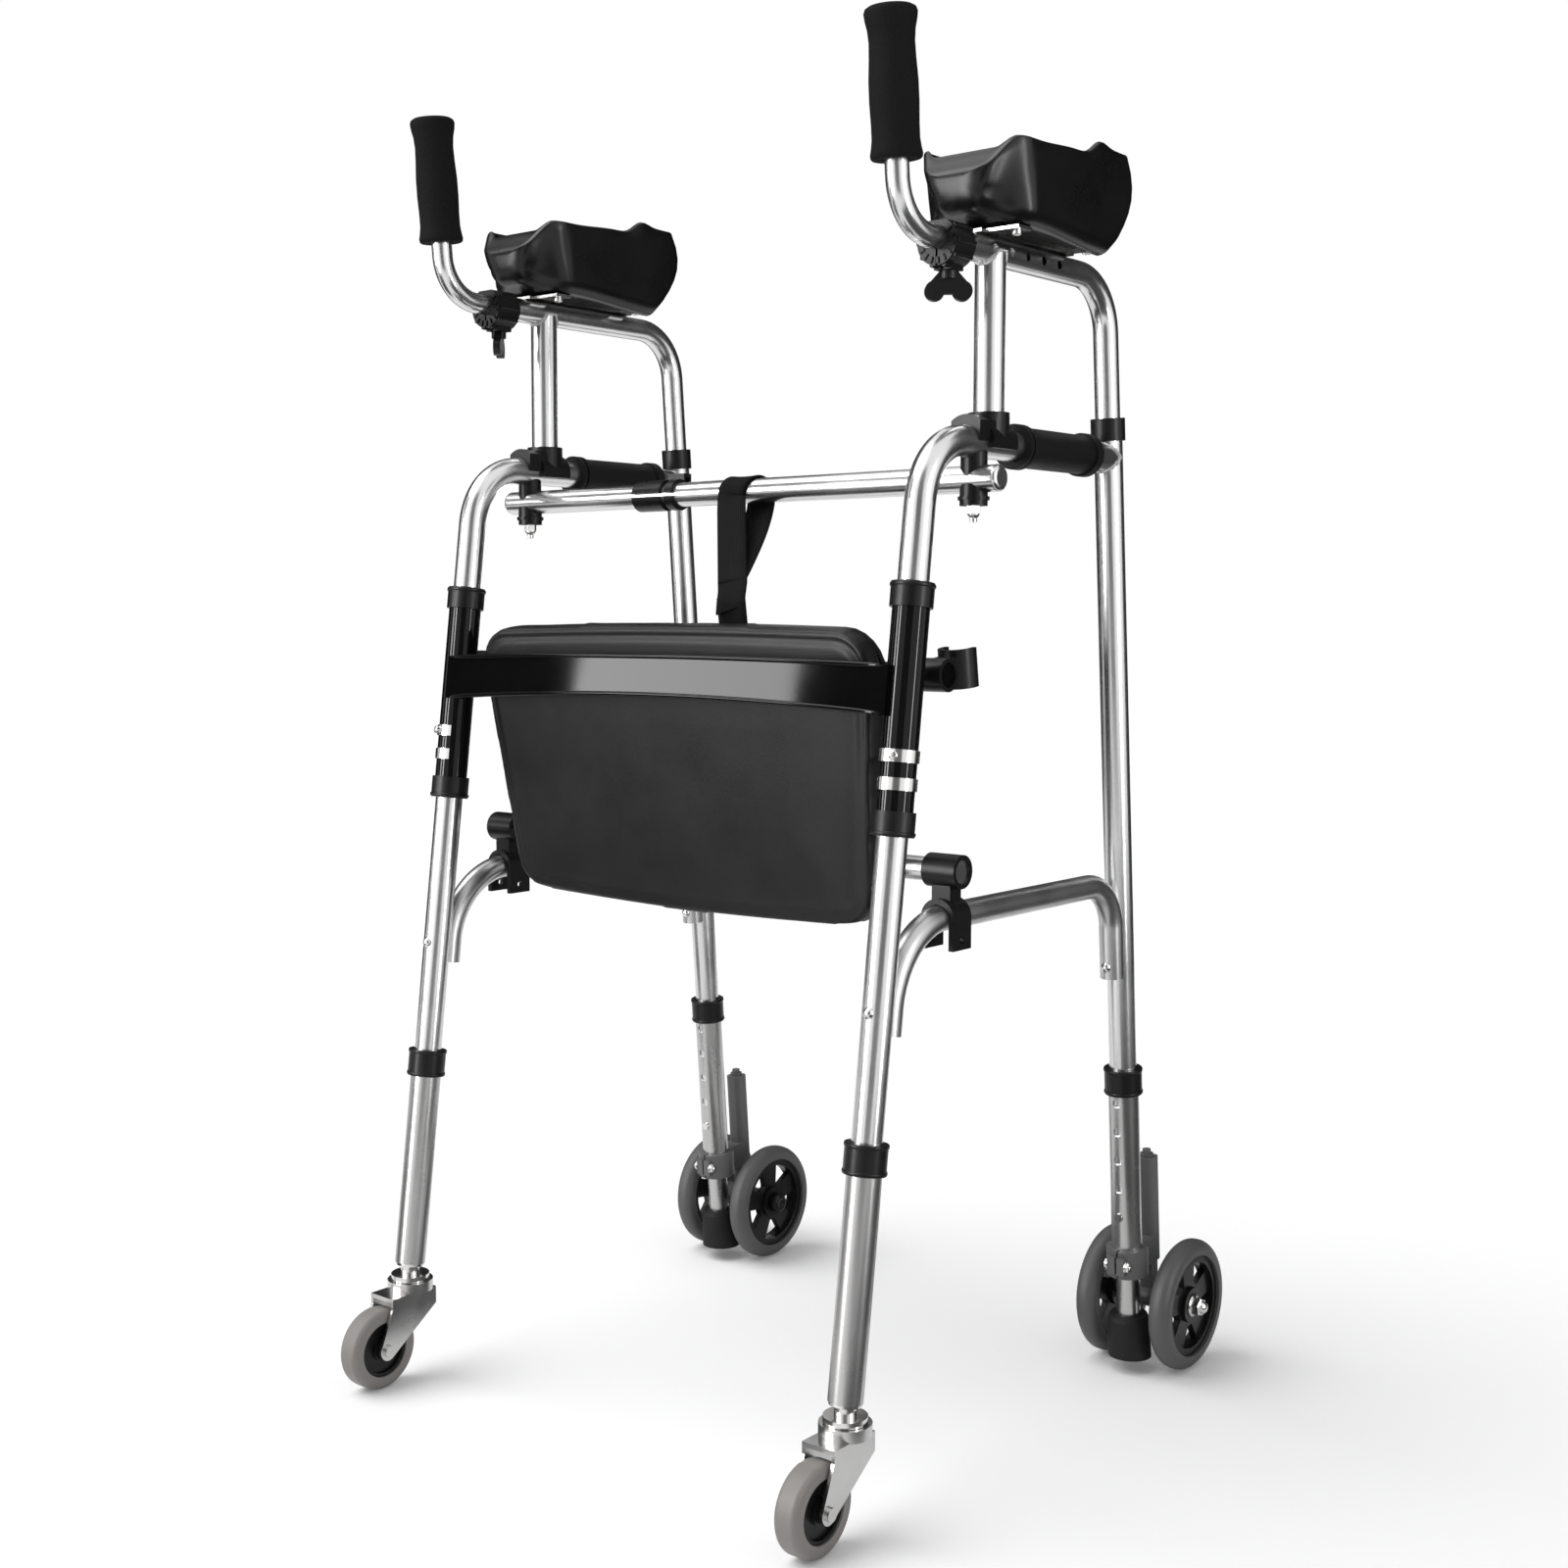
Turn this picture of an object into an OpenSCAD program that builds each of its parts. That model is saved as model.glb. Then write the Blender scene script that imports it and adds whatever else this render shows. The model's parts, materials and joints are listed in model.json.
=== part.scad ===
// Upright walker: two side frames with forearm supports, folding seat, front casters and sprung rear wheels.
// Millimetres, +Z up, the walker's front faces -Y, the user's right hand faces -X, floor at Z = 0.

/* [Side frames] */
// half the distance between the two leg planes
half_track = 260; // [230:1:300]
// outside diameter of the leg and top tubes
tube_od = 25.4; // [22:0.1:32]
// wall of the leg and top tubes
tube_wall = 1.5; // [1:0.1:3]
// lean of the front legs from the vertical
front_rake = 7.4; // [3:0.1:12]
// lean of the rear legs from the vertical
rear_rake = 4.7; // [2:0.1:9]
// where the front leg axis meets the floor
front_floor_y = -253.5; // [-320:0.5:-200]
// where the rear leg axis meets the floor
rear_floor_y = 218; // [170:0.5:280]
// height of the top tube axis
top_z = 865; // [780:1:950]
// centre-line radius of the front bend
bend_r = 60; // [45:1:90]
// height where the leg tubes end inside the extensions
leg_end_z = 140; // [120:1:170]

/* [Arch braces] */
// outside diameter of the arch tubes
arch_od = 22.2; // [18:0.1:26]
// height of the level run
arch_z = 478.5; // [400:0.5:560]
// distance from the leg axis to the arch axis along the legs
arch_gap = 16; // [13:0.5:22]
// centre-line radius at the front leg
arch_front_r = 75; // [50:1:100]
// centre-line radius at the rear leg
arch_rear_r = 45; // [35:1:70]
// height of the front end
arch_front_end_z = 393; // [370:1:405]
// height of the rear end
arch_rear_end_z = 389; // [360:1:420]
// diameter of the rivet shanks
rivet_d = 5; // [3:0.1:7]

/* [Crossbar] */
// outside diameter of the crossbar
bar_od = 22.2; // [18:0.1:26]
// distance of the crossbar from the middle plane of the frame
bar_y = -71.5; // [-80:0.5:-66]
// how far the crossbar axis is under the top tubes' axes
bar_drop = 30; // [27:0.5:45]
// how far the crossbar passes the leg planes
bar_over = 27; // [20:1:50]
// diameter of the clamp bolts
bolt_d = 6; // [5:0.1:8]
// distance of the storage clip from the middle
clip_x = 92; // [60:1:160]

/* [Front brace] */
// outside diameter of the black sleeves
sleeve_od = 30.2; // [29:0.1:34]
// height of the lower sleeve end
sleeve_low_z = 554; // [520:1:580]
// height of the upper sleeve end
sleeve_high_z = 747; // [700:1:770]
// outside diameter of the plastic collars
collar_od = 35; // [32:0.1:42]
// height of a sleeve collar
collar_h = 20; // [14:1:30]
// height of the middle of the brace bar
brace_z = 664; // [620:1:700]
// height of the brace bar at its ends
brace_h = 40; // [28:1:60]
// thickness of the brace bar
brace_t = 8; // [5:0.5:14]
// how far the brace bar ends short of the leg planes
brace_short = 4; // [3:0.5:6]
// height of the upper steel band above the lower sleeve end
band_rise = 60; // [50:1:80]
// height of a steel band
band_h = 10; // [6:0.5:14]

/* [Forearm supports] */
// outside diameter of the forearm tube
arm_od = 22.2; // [20:0.1:22.2]
// height of the forearm tubes above the top tubes
arm_rise = 155; // [140:1:180]
// centre-line radius of the rear bend
arm_bend_r = 50; // [35:1:70]
// front end of the forearm tube
arm_front_y = -118; // [-124:0.5:-110]
// distance of the front post from the middle plane
post_y = -50.5; // [-54:0.5:-46]
// outside diameter of the front post
post_od = 25.4; // [22:0.1:28]
// distance between the handle adjustment holes
hole_pitch = 25; // [20:1:30]
// length of the trough at its floor
trough_len = 184; // [150:1:230]
// front edge of the trough
trough_front_y = -104; // [-115:1:-95]
// half width of the trough at the elbow
trough_half = 50; // [42:1:60]
// half width of the trough at the wrist
trough_wrist = 29; // [24:1:40]
// height of the trough side walls
trough_wall_h = 66; // [50:1:85]
// thickness of the trough walls
trough_t = 7; // [5:0.5:10]
// thickness of the steel plate under the trough
plate_t = 2.5; // [1.5:0.5:4]

/* [Handles] */
// outside diameter of the handle rod
rod_od = 19; // [16:0.1:19]
// distance of the upright part from the middle plane
handle_y = -178; // [-190:1:-170]
// centre-line radius of the handle bend
rod_bend_r = 42; // [30:1:44]
// forward lean of the upright part
handle_lean = 5; // [0:0.5:12]
// height of the lower end of the foam grip above the forearm tube
grip_rise = 50; // [46:1:70]
// length of the foam grip
grip_len = 112; // [90:1:130]
// diameter of the foam grip
grip_d = 36.5; // [30:0.5:42]
// length of the handle clamp
clamp_len = 28; // [26:1:40]
// diameter of the handle clamp
clamp_d = 37; // [34:0.5:42]
// width of the wing knob
wing_w = 38; // [28:1:44]
// how far the handle can be drawn out
handle_travel = 50; // [25:25:50]
// length of the handle that then stays behind the clamp
rod_hold = 40; // [30:1:50]

/* [Hand grips] */
// front end of the lower hand grip
low_grip_y = -13; // [-14:0.5:0]
// length of the lower hand grip
low_grip_len = 119; // [95:1:125]
// diameter of the lower hand grip
low_grip_d = 34; // [30:0.5:40]

/* [Seat] */
// distance of the seat hinge from the middle plane
hinge_y = -105.5; // [-112:0.5:-90]
// height of the hinge tube above the arch tubes
claw_drop = 38; // [35:0.5:44]
// forward lean of the stored seat
seat_lean = 8.2; // [4:0.1:12]
// outside diameter of the seat tubes
seat_tube_od = 20; // [16:0.1:21]
// distance between the two seat tubes
seat_tube_gap = 162; // [140:1:175]
// distance of the seat's free edge from the leg planes, at its sides
seat_side_gap = 26; // [22:1:60]
// how much the seat narrows to the hinge, on each side
seat_taper = 17; // [10:1:40]
// distance from the hinge to the free edge
seat_up = 208; // [190:1:214]
// distance from the hinge to the lower edge
seat_down = 54; // [40:1:58]
// thickness of the seat board
board_t = 5; // [4:0.5:8]
// thickness of the seat cushion at its crown
cushion_t = 25; // [18:1:30]
// width of the strap
strap_w = 25; // [18:1:32]
// thickness of the strap
strap_t = 2; // [1.5:0.1:3]
// where the strap sits on the crossbar
strap_x = 10; // [-20:1:30]

/* [Leg extensions] */
// outside diameter of the extension tubes
ext_od = 28.6; // [28:0.1:36]
// height of the top of the front collars
front_collar_z = 312; // [290:1:330]
// height of the top of the rear collars
rear_collar_z = 300; // [280:1:320]
// height of a leg collar
leg_collar_h = 25; // [18:1:32]
// lower end of the front extension
front_ext_z = 110; // [106:0.5:120]
// distance between the height holes
leg_pitch = 28; // [22:1:30]
// diameter of the height buttons
button_d = 8; // [6:0.1:10]
// height of the buttons on the rear legs
button_z = 156; // [150:1:160]

/* [Casters] */
// diameter of the caster wheels
caster_d = 75; // [65:1:80]
// width of the caster wheels
caster_w = 22; // [18:1:26]
// distance of the caster axle from the swivel axis
caster_trail = 40.8; // [32:0.1:45]
// diameter of the caster axle
caster_axle_d = 8; // [6:0.1:10]
// height of the swivel race
race_z = 94; // [90:0.5:96]

/* [Rear wheels] */
// diameter of the rear wheels
wheel_d = 125; // [110:1:140]
// width of a rear wheel
wheel_w = 21; // [18:1:26]
// distance of a rear wheel from the leg plane
wheel_off = 39; // [36:0.5:45]
// distance of the axle behind the leg axis
axle_off = 42; // [40:0.5:50]
// diameter of the rear axle
axle_d = 10; // [8:0.1:12]
// diameter of the tube inside the rubber foot
foot_tube_od = 22.6; // [20:0.1:24]
// height of the rubber foot above the floor
foot_gap = 14; // [8:0.5:16]
// diameter of the rubber foot at its floor end
foot_d = 42; // [34:0.5:44]
// height of the top of the rubber foot
foot_top_z = 56; // [50:1:60]
// side of the square spring plunger
plunger_w = 12; // [11:0.5:14]

/* [Fits] */
// radial gap of tubes that slide or turn
slide_gap = 0.1; // [0.05:0.01:0.1]
// gap of parts that are seated on each other
seat_gap = 0.15; // [0.1:0.05:0.3]
// gap of parts that move past each other
run_gap = 0.4; // [0.3:0.05:0.6]

/* [Hidden] */
$fn = 64;
tube_r = tube_od / 2;
tube_ri = tube_r - tube_wall;
arch_r = arch_od / 2;
bar_z = top_z - bar_drop;
arm_z = top_z + arm_rise;
band_z = sleeve_low_z + band_rise;
bar_r = bar_od / 2;
sleeve_r = sleeve_od / 2;
arm_r = arm_od / 2;
arm_ri = rod_od / 2 + slide_gap;
rod_r = rod_od / 2;
ext_r = ext_od / 2;
ext_ri = tube_r + slide_gap;
seat_tube_r = seat_tube_od / 2;
hinge_z = arch_z + claw_drop;
caster_r = caster_d / 2;
wheel_r = wheel_d / 2;
swivel_y = front_floor_y + front_ext_z * tan(front_rake);
axle_z = (wheel_r - axle_off * sin(rear_rake)) / cos(rear_rake);
trough_low = arm_z + arm_r + plate_t + 2 * seat_gap;
bar_end = half_track + bar_over;
grip_at = grip_rise / cos(handle_lean);
clamp_y = arm_front_y - 10;
knob_y = clamp_y + clamp_len / 2 + 3;
foot_in = foot_gap + 13;
rod_end_y = clamp_y + clamp_len + rod_hold + handle_travel;
brace_half = half_track - brace_short;
seat_top_half = half_track - seat_side_gap;
seat_low_half = seat_top_half - seat_taper;
low_grip_r = low_grip_d / 2;
strap_ys = [for (u = [0.174, 0.772]) trough_front_y + round(u * trough_len)];

// leg axes
function fy(z) = front_floor_y + z * tan(front_rake);
function ry(z) = rear_floor_y - z * tan(rear_rake);
function r2(v) = round(v * 100) / 100;
function smooth(a, b, t) = let (u = max(0, min(1, (t - a) / (b - a)))) u * u * (3 - 2 * u);

// left is the -X side, seen from the front it is on the left
module side(s) {
  translate([s * half_track, 0, 0])
    children();
}

module both() {
  for (s = [-1, 1])
    side(s)
      children();
}

// local frame with its Z along the front leg, its origin on the leg axis at height z
module on_front(z) {
  translate([0, fy(z), z])
    rotate([-front_rake, 0, 0])
      children();
}

// local frame with its Z along the rear leg, its origin where the axis meets the floor
module on_rear() {
  translate([0, rear_floor_y, 0])
    rotate([rear_rake, 0, 0])
      children();
}

module rod_y(r, y0, y1) {
  translate([0, y0, 0])
    rotate([-90, 0, 0])
      cylinder(r = r, h = y1 - y0);
}

module rod_x(r, x0, x1) {
  translate([x0, 0, 0])
    rotate([0, 90, 0])
      cylinder(r = r, h = x1 - x0);
}

module ring(ro, ri, h) {
  difference() {
    cylinder(r = ro, h = h);
    translate([0, 0, -1])
      cylinder(r = ri, h = h + 2);
  }
}

// tube with one bend, its origin at the corner: level run to y = -la, then lb down after a turn of a degrees
// the straight runs reach a little into the bend, and the bend is a hair thinner than they are
module bent_tube(ro, ri, rb, a, la, lb) {
  back = rb * tan(a / 2);
  lap = 0.6;
  hair = 0.04;
  if (la > 0)
    translate([0, lap - back, 0])
      rotate([90, 0, 0])
        ring(ro, ri, la - back + lap);
  translate([0, -back, -rb])
    rotate([0, -90, 0])
      rotate_extrude(angle = a)
        translate([rb, 0])
          difference() {
            circle(r = ro - hair);
            circle(r = ri + hair);
          }
  rotate([90 - a, 0, 0])
    translate([0, 0, lap - back])
      mirror([0, 0, 1])
        ring(ro, ri, lb - back + lap);
}

// front leg, bend and top tube in one
module front_tube(low, end_y) {
  cy = r2(fy(top_z));
  translate([0, cy, top_z])
    mirror([0, 1, 0])
      bent_tube(tube_r, tube_ri, bend_r, 90 - front_rake, r2(end_y - cy), r2((top_z - low) / cos(front_rake)));
}

module rear_path(r, low, high) {
  on_rear()
    translate([0, 0, low / cos(rear_rake)])
      cylinder(r = r, h = (high - low) / cos(rear_rake));
}

module rivet_holes(r) {
  on_front(arch_front_end_z + 20)
    rod_y(r, -tube_r - 4, tube_r + arch_r);
  on_rear()
    translate([0, 0, (arch_rear_end_z + 13) / cos(rear_rake)])
      rod_y(r, -arch_gap - arch_r - 4, tube_r - tube_wall - 2);
}

module side_frame() {
  color("gainsboro")
    difference() {
      union() {
        front_tube(leg_end_z, ry(top_z) - 2);
        rear_path(tube_r, leg_end_z, upright_top());
      }
      rear_path(tube_ri, leg_end_z - 2, upright_top() + 4);
      rivet_holes(rivet_d / 2 + seat_gap);
      // clamp bolt of the crossbar
      translate([0, bar_y, top_z - tube_od])
        cylinder(d = bolt_d + 2 * seat_gap, h = 2 * tube_od);
      // height button
      on_rear()
        translate([0, 0, button_z / cos(rear_rake)])
          rod_y(button_d / 2 + slide_gap, -tube_r - 3, 0);
    }
}

function upright_top() = top_z + 31;

module left_side_frame() {
  side(-1)
    side_frame();
}

module right_side_frame() {
  side(1)
    side_frame();
}

// one arch: front leg side, bend, level run, bend, rear leg side
module arch_tube(ro, ri) {
  yf = r2(fy(arch_z) + arch_gap / cos(front_rake));
  yr = r2(ry(arch_z) - arch_gap / cos(rear_rake));
  run = r2(yr - yf - arch_rear_r * tan(45 - rear_rake / 2) + 0.6);
  translate([0, yf, arch_z])
    mirror([0, 1, 0])
      bent_tube(ro, ri, arch_front_r, 90 - front_rake, run, r2((arch_z - arch_front_end_z) / cos(front_rake)));
  translate([0, yr, arch_z])
    bent_tube(ro, ri, arch_rear_r, 90 - rear_rake, 0, r2((arch_z - arch_rear_end_z) / cos(rear_rake)));
}

module arch_braces() {
  color("silver")
    both()
      difference() {
        arch_tube(arch_r, arch_r - 1.4);
        on_front(arch_front_end_z - 20)
          cylinder(r = tube_r + seat_gap, h = 110);
        on_rear()
          translate([0, 0, arch_rear_end_z - 20])
            cylinder(r = tube_r + seat_gap, h = 110);
        rivet_holes(rivet_d / 2 + seat_gap);
      }
}

// domed head at y = 0 and its shank behind it
module rivet(len) {
  rod_y(rivet_d / 2, -2, len);
  translate([0, 1.5, 0])
    intersection() {
      sphere(r = rivet_d);
      rod_y(rivet_d, -rivet_d, -1.5 - seat_gap);
    }
}

module arch_rivets() {
  color("whitesmoke")
    both() {
      on_front(arch_front_end_z + 20)
        translate([0, -tube_r, 0])
          rivet(tube_od + 4);
      on_rear()
        translate([0, -arch_gap - arch_r, (arch_rear_end_z + 13) / cos(rear_rake)])
          rivet(arch_gap + arch_r - tube_r + tube_wall + 1);
    }
}

module crossbar() {
  color("gainsboro")
    difference() {
      translate([0, bar_y, bar_z]) {
        rod_x(bar_r, -bar_end + 4, bar_end - 4);
        for (s = [-1, 1])
          rotate([0, 0, s > 0 ? 0 : 180])
            translate([bar_end - 4, 0, 0])
              rotate([0, 90, 0])
                rotate_extrude()
                  intersection() {
                    square([bar_r, 4]);
                    union() {
                      square([bar_r - 4, 4]);
                      translate([bar_r - 4, 0])
                        circle(r = 4);
                    }
                  }
      }
      translate([0, bar_y, bar_z])
        rod_x(bar_r - 1.6, -bar_end + 6, bar_end - 6);
      for (s = [-1, 1])
        translate([s * half_track, bar_y, bar_z - bar_od])
          cylinder(d = bolt_d + 2 * seat_gap, h = 2 * bar_od);
    }
}

module crossbar_saddles() {
  color("dimgray")
    both()
      translate([0, bar_y, 0]) {
        // upper saddle, between the top tube and the bar
        difference() {
          translate([0, 0, bar_z + 2])
            cylinder(r = 11, h = top_z - bar_z - 10);
          translate([0, 0, bar_z])
            rod_x(bar_r + seat_gap, -20, 20);
          translate([0, 0, top_z])
            rod_y(tube_r + seat_gap, -20, 20);
          cylinder(d = bolt_d + 2 * seat_gap, h = top_z);
        }
        // lower saddle, under the bar
        difference() {
          union() {
            translate([0, 0, bar_z - bar_r - 10.5])
              cylinder(r = 11.5, h = 17);
            translate([0, 0, bar_z - bar_r - 6])
              cylinder(r = 13, h = 3);
          }
          translate([0, 0, bar_z])
            rod_x(bar_r + seat_gap, -20, 20);
          cylinder(d = bolt_d + 2 * seat_gap, h = top_z);
        }
      }
}

module crossbar_bolts() {
  nut_z = bar_z - bar_r - 10.5 - seat_gap;
  color("whitesmoke")
    both()
      translate([0, bar_y, 0]) {
        translate([0, 0, nut_z - 13])
          cylinder(d = bolt_d, h = top_z + tube_r - nut_z + 15);
        translate([0, 0, top_z + tube_r + seat_gap])
          cylinder(r = bolt_d * 0.9, h = 4);
        translate([0, 0, nut_z - 6])
          cylinder(r = bolt_d, h = 6, $fn = 6);
        translate([0, 0, nut_z - 6])
          intersection() {
            sphere(r = bolt_d * 0.82);
            translate([0, 0, -10])
              cylinder(r = 10, h = 10.5);
          }
      }
}

module storage_clip() {
  color("dimgray")
    translate([-clip_x, bar_y, bar_z])
      difference() {
        union() {
          rod_x(bar_r + 3.2, -18, 16);
          rod_x(bar_r + 3.2, 22, 31);
          translate([-18, bar_r + 0.6, -5])
            cube([49, 4, 10]);
          translate([10, 6, 8])
            cube([20, 10, 12]);
        }
        rod_x(bar_r + seat_gap, -60, 60);
        // split of the clip
        translate([-30, -bar_r - 10, -1.5])
          cube([70, 14, 3]);
        translate([26, 11, 14])
          rod_x(2.5, -30, 30);
      }
}

// one of the two sleeves and its half of the bar are one welded piece
module front_brace() {
  sag_t = 4;
  sag_b = 8.5;
  rt = (brace_half * brace_half + sag_t * sag_t) / (2 * sag_t);
  rb = (brace_half * brace_half + sag_b * sag_b) / (2 * sag_b);
  len = (sleeve_high_z - sleeve_low_z) / cos(front_rake);
  color("#202022")
    difference() {
      union() {
        both()
          on_front(sleeve_low_z)
            cylinder(r = sleeve_r, h = len);
        on_front(brace_z)
          translate([0, -sleeve_r + 4, 0])
            rotate([90, 0, 0])
              linear_extrude(brace_t)
                difference() {
                  intersection() {
                    translate([-brace_half, -brace_h])
                      square([2 * brace_half, 2 * brace_h]);
                    translate([0, brace_h / 2 + sag_t - rt])
                      circle(r = rt, $fn = 256);
                  }
                  translate([0, -brace_h / 2 + sag_b - rb])
                    circle(r = rb, $fn = 256);
                }
      }
      both()
        on_front(sleeve_low_z - 10)
          cylinder(r = tube_r + slide_gap, h = len + 20);
    }
}

module collar_on_sleeve() {
  difference() {
    cylinder(d = collar_od, h = collar_h);
    translate([0, 0, -1])
      cylinder(r = tube_r + run_gap, h = collar_h + 2);
    translate([0, 0, -1])
      cylinder(r = sleeve_r + seat_gap, h = collar_h - 2);
  }
}

// collars of the sleeves and of the two uprights
module tube_collars() {
  color("#2a2a2c")
    both() {
      on_front(sleeve_high_z)
        translate([0, 0, -collar_h + 3 + seat_gap])
          collar_on_sleeve();
      on_front(sleeve_low_z)
        translate([0, 0, collar_h - 3 - seat_gap])
          mirror([0, 0, 1])
            collar_on_sleeve();
      on_rear()
        translate([0, 0, upright_top() / cos(rear_rake)])
          difference() {
            translate([0, 0, -16])
              cylinder(r = tube_r + 2.6, h = 20);
            translate([0, 0, -17])
              cylinder(r = tube_r + seat_gap, h = 17 + seat_gap);
            cylinder(r = arm_r + seat_gap, h = 10);
          }
    }
}

module brace_bands() {
  color("whitesmoke")
    for (s = [-1, 1], k = [0, 1])
      side(s)
        on_front(band_z - k * 22)
          translate([0, 0, -band_h / 2]) {
            rotate([0, 0, s > 0 ? -125 : 145])
              rotate_extrude(angle = 160)
                translate([sleeve_r + seat_gap, 0])
                  square([1.3, band_h]);
            if (k == 0)
              rotate([0, 0, s > 0 ? -70 : -110])
                translate([sleeve_r + 1, 0, band_h / 2])
                  rotate([0, 90, 0])
                    cylinder(d = 7, h = 3);
          }
}

// forearm tube, rear bend and rear post in one
module arm_tube(low) {
  cy = r2(ry(arm_z));
  translate([0, cy, arm_z])
    bent_tube(arm_r, arm_ri, arm_bend_r, 90 - rear_rake, cy - arm_front_y, r2((arm_z - low) / cos(rear_rake)));
}

module forearm_frames() {
  color("gainsboro")
    for (s = [-1, 1])
      side(s)
        difference() {
          union() {
            arm_tube(top_z - 60);
            // front post, coped to the forearm tube
            translate([0, post_y, top_z + tube_r + 2 * seat_gap])
              difference() {
                ring(post_od / 2, post_od / 2 - tube_wall, arm_z - top_z - tube_r - 2 * seat_gap);
                translate([0, 0, arm_z - top_z - tube_r - 2 * seat_gap])
                  rod_y(arm_r - 0.6, -30, 30);
              }
          }
          // holes for setting the handle
          for (k = [0:4])
            translate([0, -60 + k * hole_pitch, arm_z])
              rotate([0, s * 90, 0])
                cylinder(d = 7.5, h = arm_od);
        }
}

module post_feet() {
  color("#2a2a2c")
    both()
      difference() {
        union() {
          intersection() {
            translate([0, 0, top_z])
              rod_y(tube_r + 5, post_y - 18, post_y + 18);
            translate([-40, post_y - 40, top_z - 5])
              cube([80, 80, 60]);
          }
          intersection() {
            translate([0, 0, top_z])
              rod_y(tube_r + 9, post_y - 34, post_y - 10);
            translate([-14, post_y - 40, top_z])
              cube([28, 80, 60]);
          }
          translate([0, post_y, top_z])
            cylinder(d = post_od + 9, h = tube_r + 12);
        }
        translate([0, 0, top_z])
          rod_y(tube_r + seat_gap, -200, 200);
        translate([0, post_y, top_z + tube_r])
          cylinder(d = post_od + 2 * seat_gap, h = 60);
        // pocket of the bolt head
        translate([0, bar_y, top_z])
          cylinder(r = bolt_d * 0.9 + seat_gap, h = tube_r + 4.5);
      }
}

// trough section: outer U from right to left, rim, inner U back, rim
tr_n = 12;
tr_r = 16;
tr_ts = concat([0, 0.012, 0.035, 0.07, 0.11, 0.15, 0.19, 0.23], [for (i = [3:6]) i / 10],
  [for (i = [0:4]) 0.68 + 0.06 * i], [0.965, 1]);
tr_m = len(tr_ts) - 1;
// the closed wrist end is rounded over, 1 at its tip
function tr_tip(t) = pow(1 - min(1, t / 0.07), 2);
function tr_half(t) = (trough_wrist + (trough_half - trough_wrist) * smooth(0.05, 0.26, t)) * (1 - 0.3 * tr_tip(t));
function tr_low(t) = trough_low + 9 * tr_tip(t);
function tr_top(t) = trough_low + trough_wall_h - 28 + 28 * smooth(0.1, 0.22, t) + 6 * (1 - smooth(0, 0.09, t))
  + 4 * smooth(0.2, 0.6, t) + 8 * exp(-pow((t - 0.77) / 0.07, 2)) + 7 * smooth(0.68, 0.9, t);
function tr_floor(t) = trough_low + trough_t + 2 + (trough_wall_h - 38) * (1 - smooth(0, 0.28, t));
// wall top, corner, floor, corner, wall top
function tr_u(w, h, b, r) = concat(
  [[w, h]],
  [for (i = [0:4]) [w - r + r * cos(22.5 * i), b + r - r * sin(22.5 * i)]],
  [[0, b]],
  [for (i = [0:4]) [-w + r - r * sin(22.5 * i), b + r - r * cos(22.5 * i)]],
  [[-w, h]]
);
function tr_pt(t, p) = let (u = (p[1] - trough_low) / (tr_top(t) - trough_low)) [
  p[0],
  trough_front_y + t * trough_len + 22 * smooth(0.62, 1, t) * sin(150 * u) - 6 * (1 - smooth(0, 0.2, t)) * u,
  p[1]
];
function tr_sec(t) = let (
    w = tr_half(t),
    h = tr_top(t),
    out = tr_u(w, h, tr_low(t), tr_r),
    inn = tr_u(w - trough_t, h, tr_floor(t), min(tr_r - 4, h - tr_floor(t) - 1))
  )
  concat(
    [for (i = [0:tr_n]) tr_pt(t, out[i])],
    [tr_pt(t, [-w + trough_t / 2, h + 2])],
    [for (i = [0:tr_n]) tr_pt(t, inn[tr_n - i])],
    [tr_pt(t, [w - trough_t / 2, h + 2])]
  );

module trough() {
  n = 2 * tr_n + 4;
  pts = [for (t = tr_ts) each tr_sec(t)];
  skin = [for (k = [0:tr_m - 1], i = [0:n - 1]) let (j = (i + 1) % n, a = k * n, b = (k + 1) * n)
    each [[a + i, b + i, b + j], [a + i, b + j, a + j]]];
  cap = [for (i = [0:tr_n - 1]) let (p = 2 * tr_n + 2 - i)
    each [[i, i + 1, p - 1], [i, p - 1, p]]];
  rims = [[2 * tr_n + 2, 2 * tr_n + 3, 0], [tr_n, tr_n + 1, tr_n + 2]];
  front = concat(cap, rims);
  rear = [for (f = front) [f[2] + tr_m * n, f[1] + tr_m * n, f[0] + tr_m * n]];
  polyhedron(points = pts, faces = concat(skin, front, rear), convexity = 6);
}

module forearm_troughs() {
  color("#1c1c1e")
    both()
      difference() {
        trough();
        at_trough_screws()
          translate([0, 0, trough_low - 1])
            cylinder(r = 2.2, h = 7.5);
      }
}

// places of the trough screws, near the ends of the cross straps
module at_trough_screws() {
  for (x = [-1, 1], y = strap_ys)
    translate([x * (trough_half - tr_r - 2), y + 10, 0])
      children();
}

// plate with its cross straps, and the screws that hold the trough
module trough_plates() {
  z = arm_z + arm_r + seat_gap;
  half = trough_half - tr_r + 6;
  color("whitesmoke")
    both() {
      difference() {
        union() {
          translate([-9, strap_ys[0] - 6, z])
            cube([18, strap_ys[1] - strap_ys[0] + 34, plate_t]);
          for (y = strap_ys)
            translate([-half, y, z])
              cube([2 * half, 20, plate_t]);
        }
        at_trough_screws()
          translate([0, 0, z - 5])
            cylinder(r = 2.2, h = 20);
      }
      at_trough_screws() {
        translate([0, 0, z - 2.6 - seat_gap])
          cylinder(r = 4, h = 2.6);
        translate([0, 0, z - 1])
          cylinder(r = 2, h = plate_t + 6);
      }
    }
}

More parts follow.
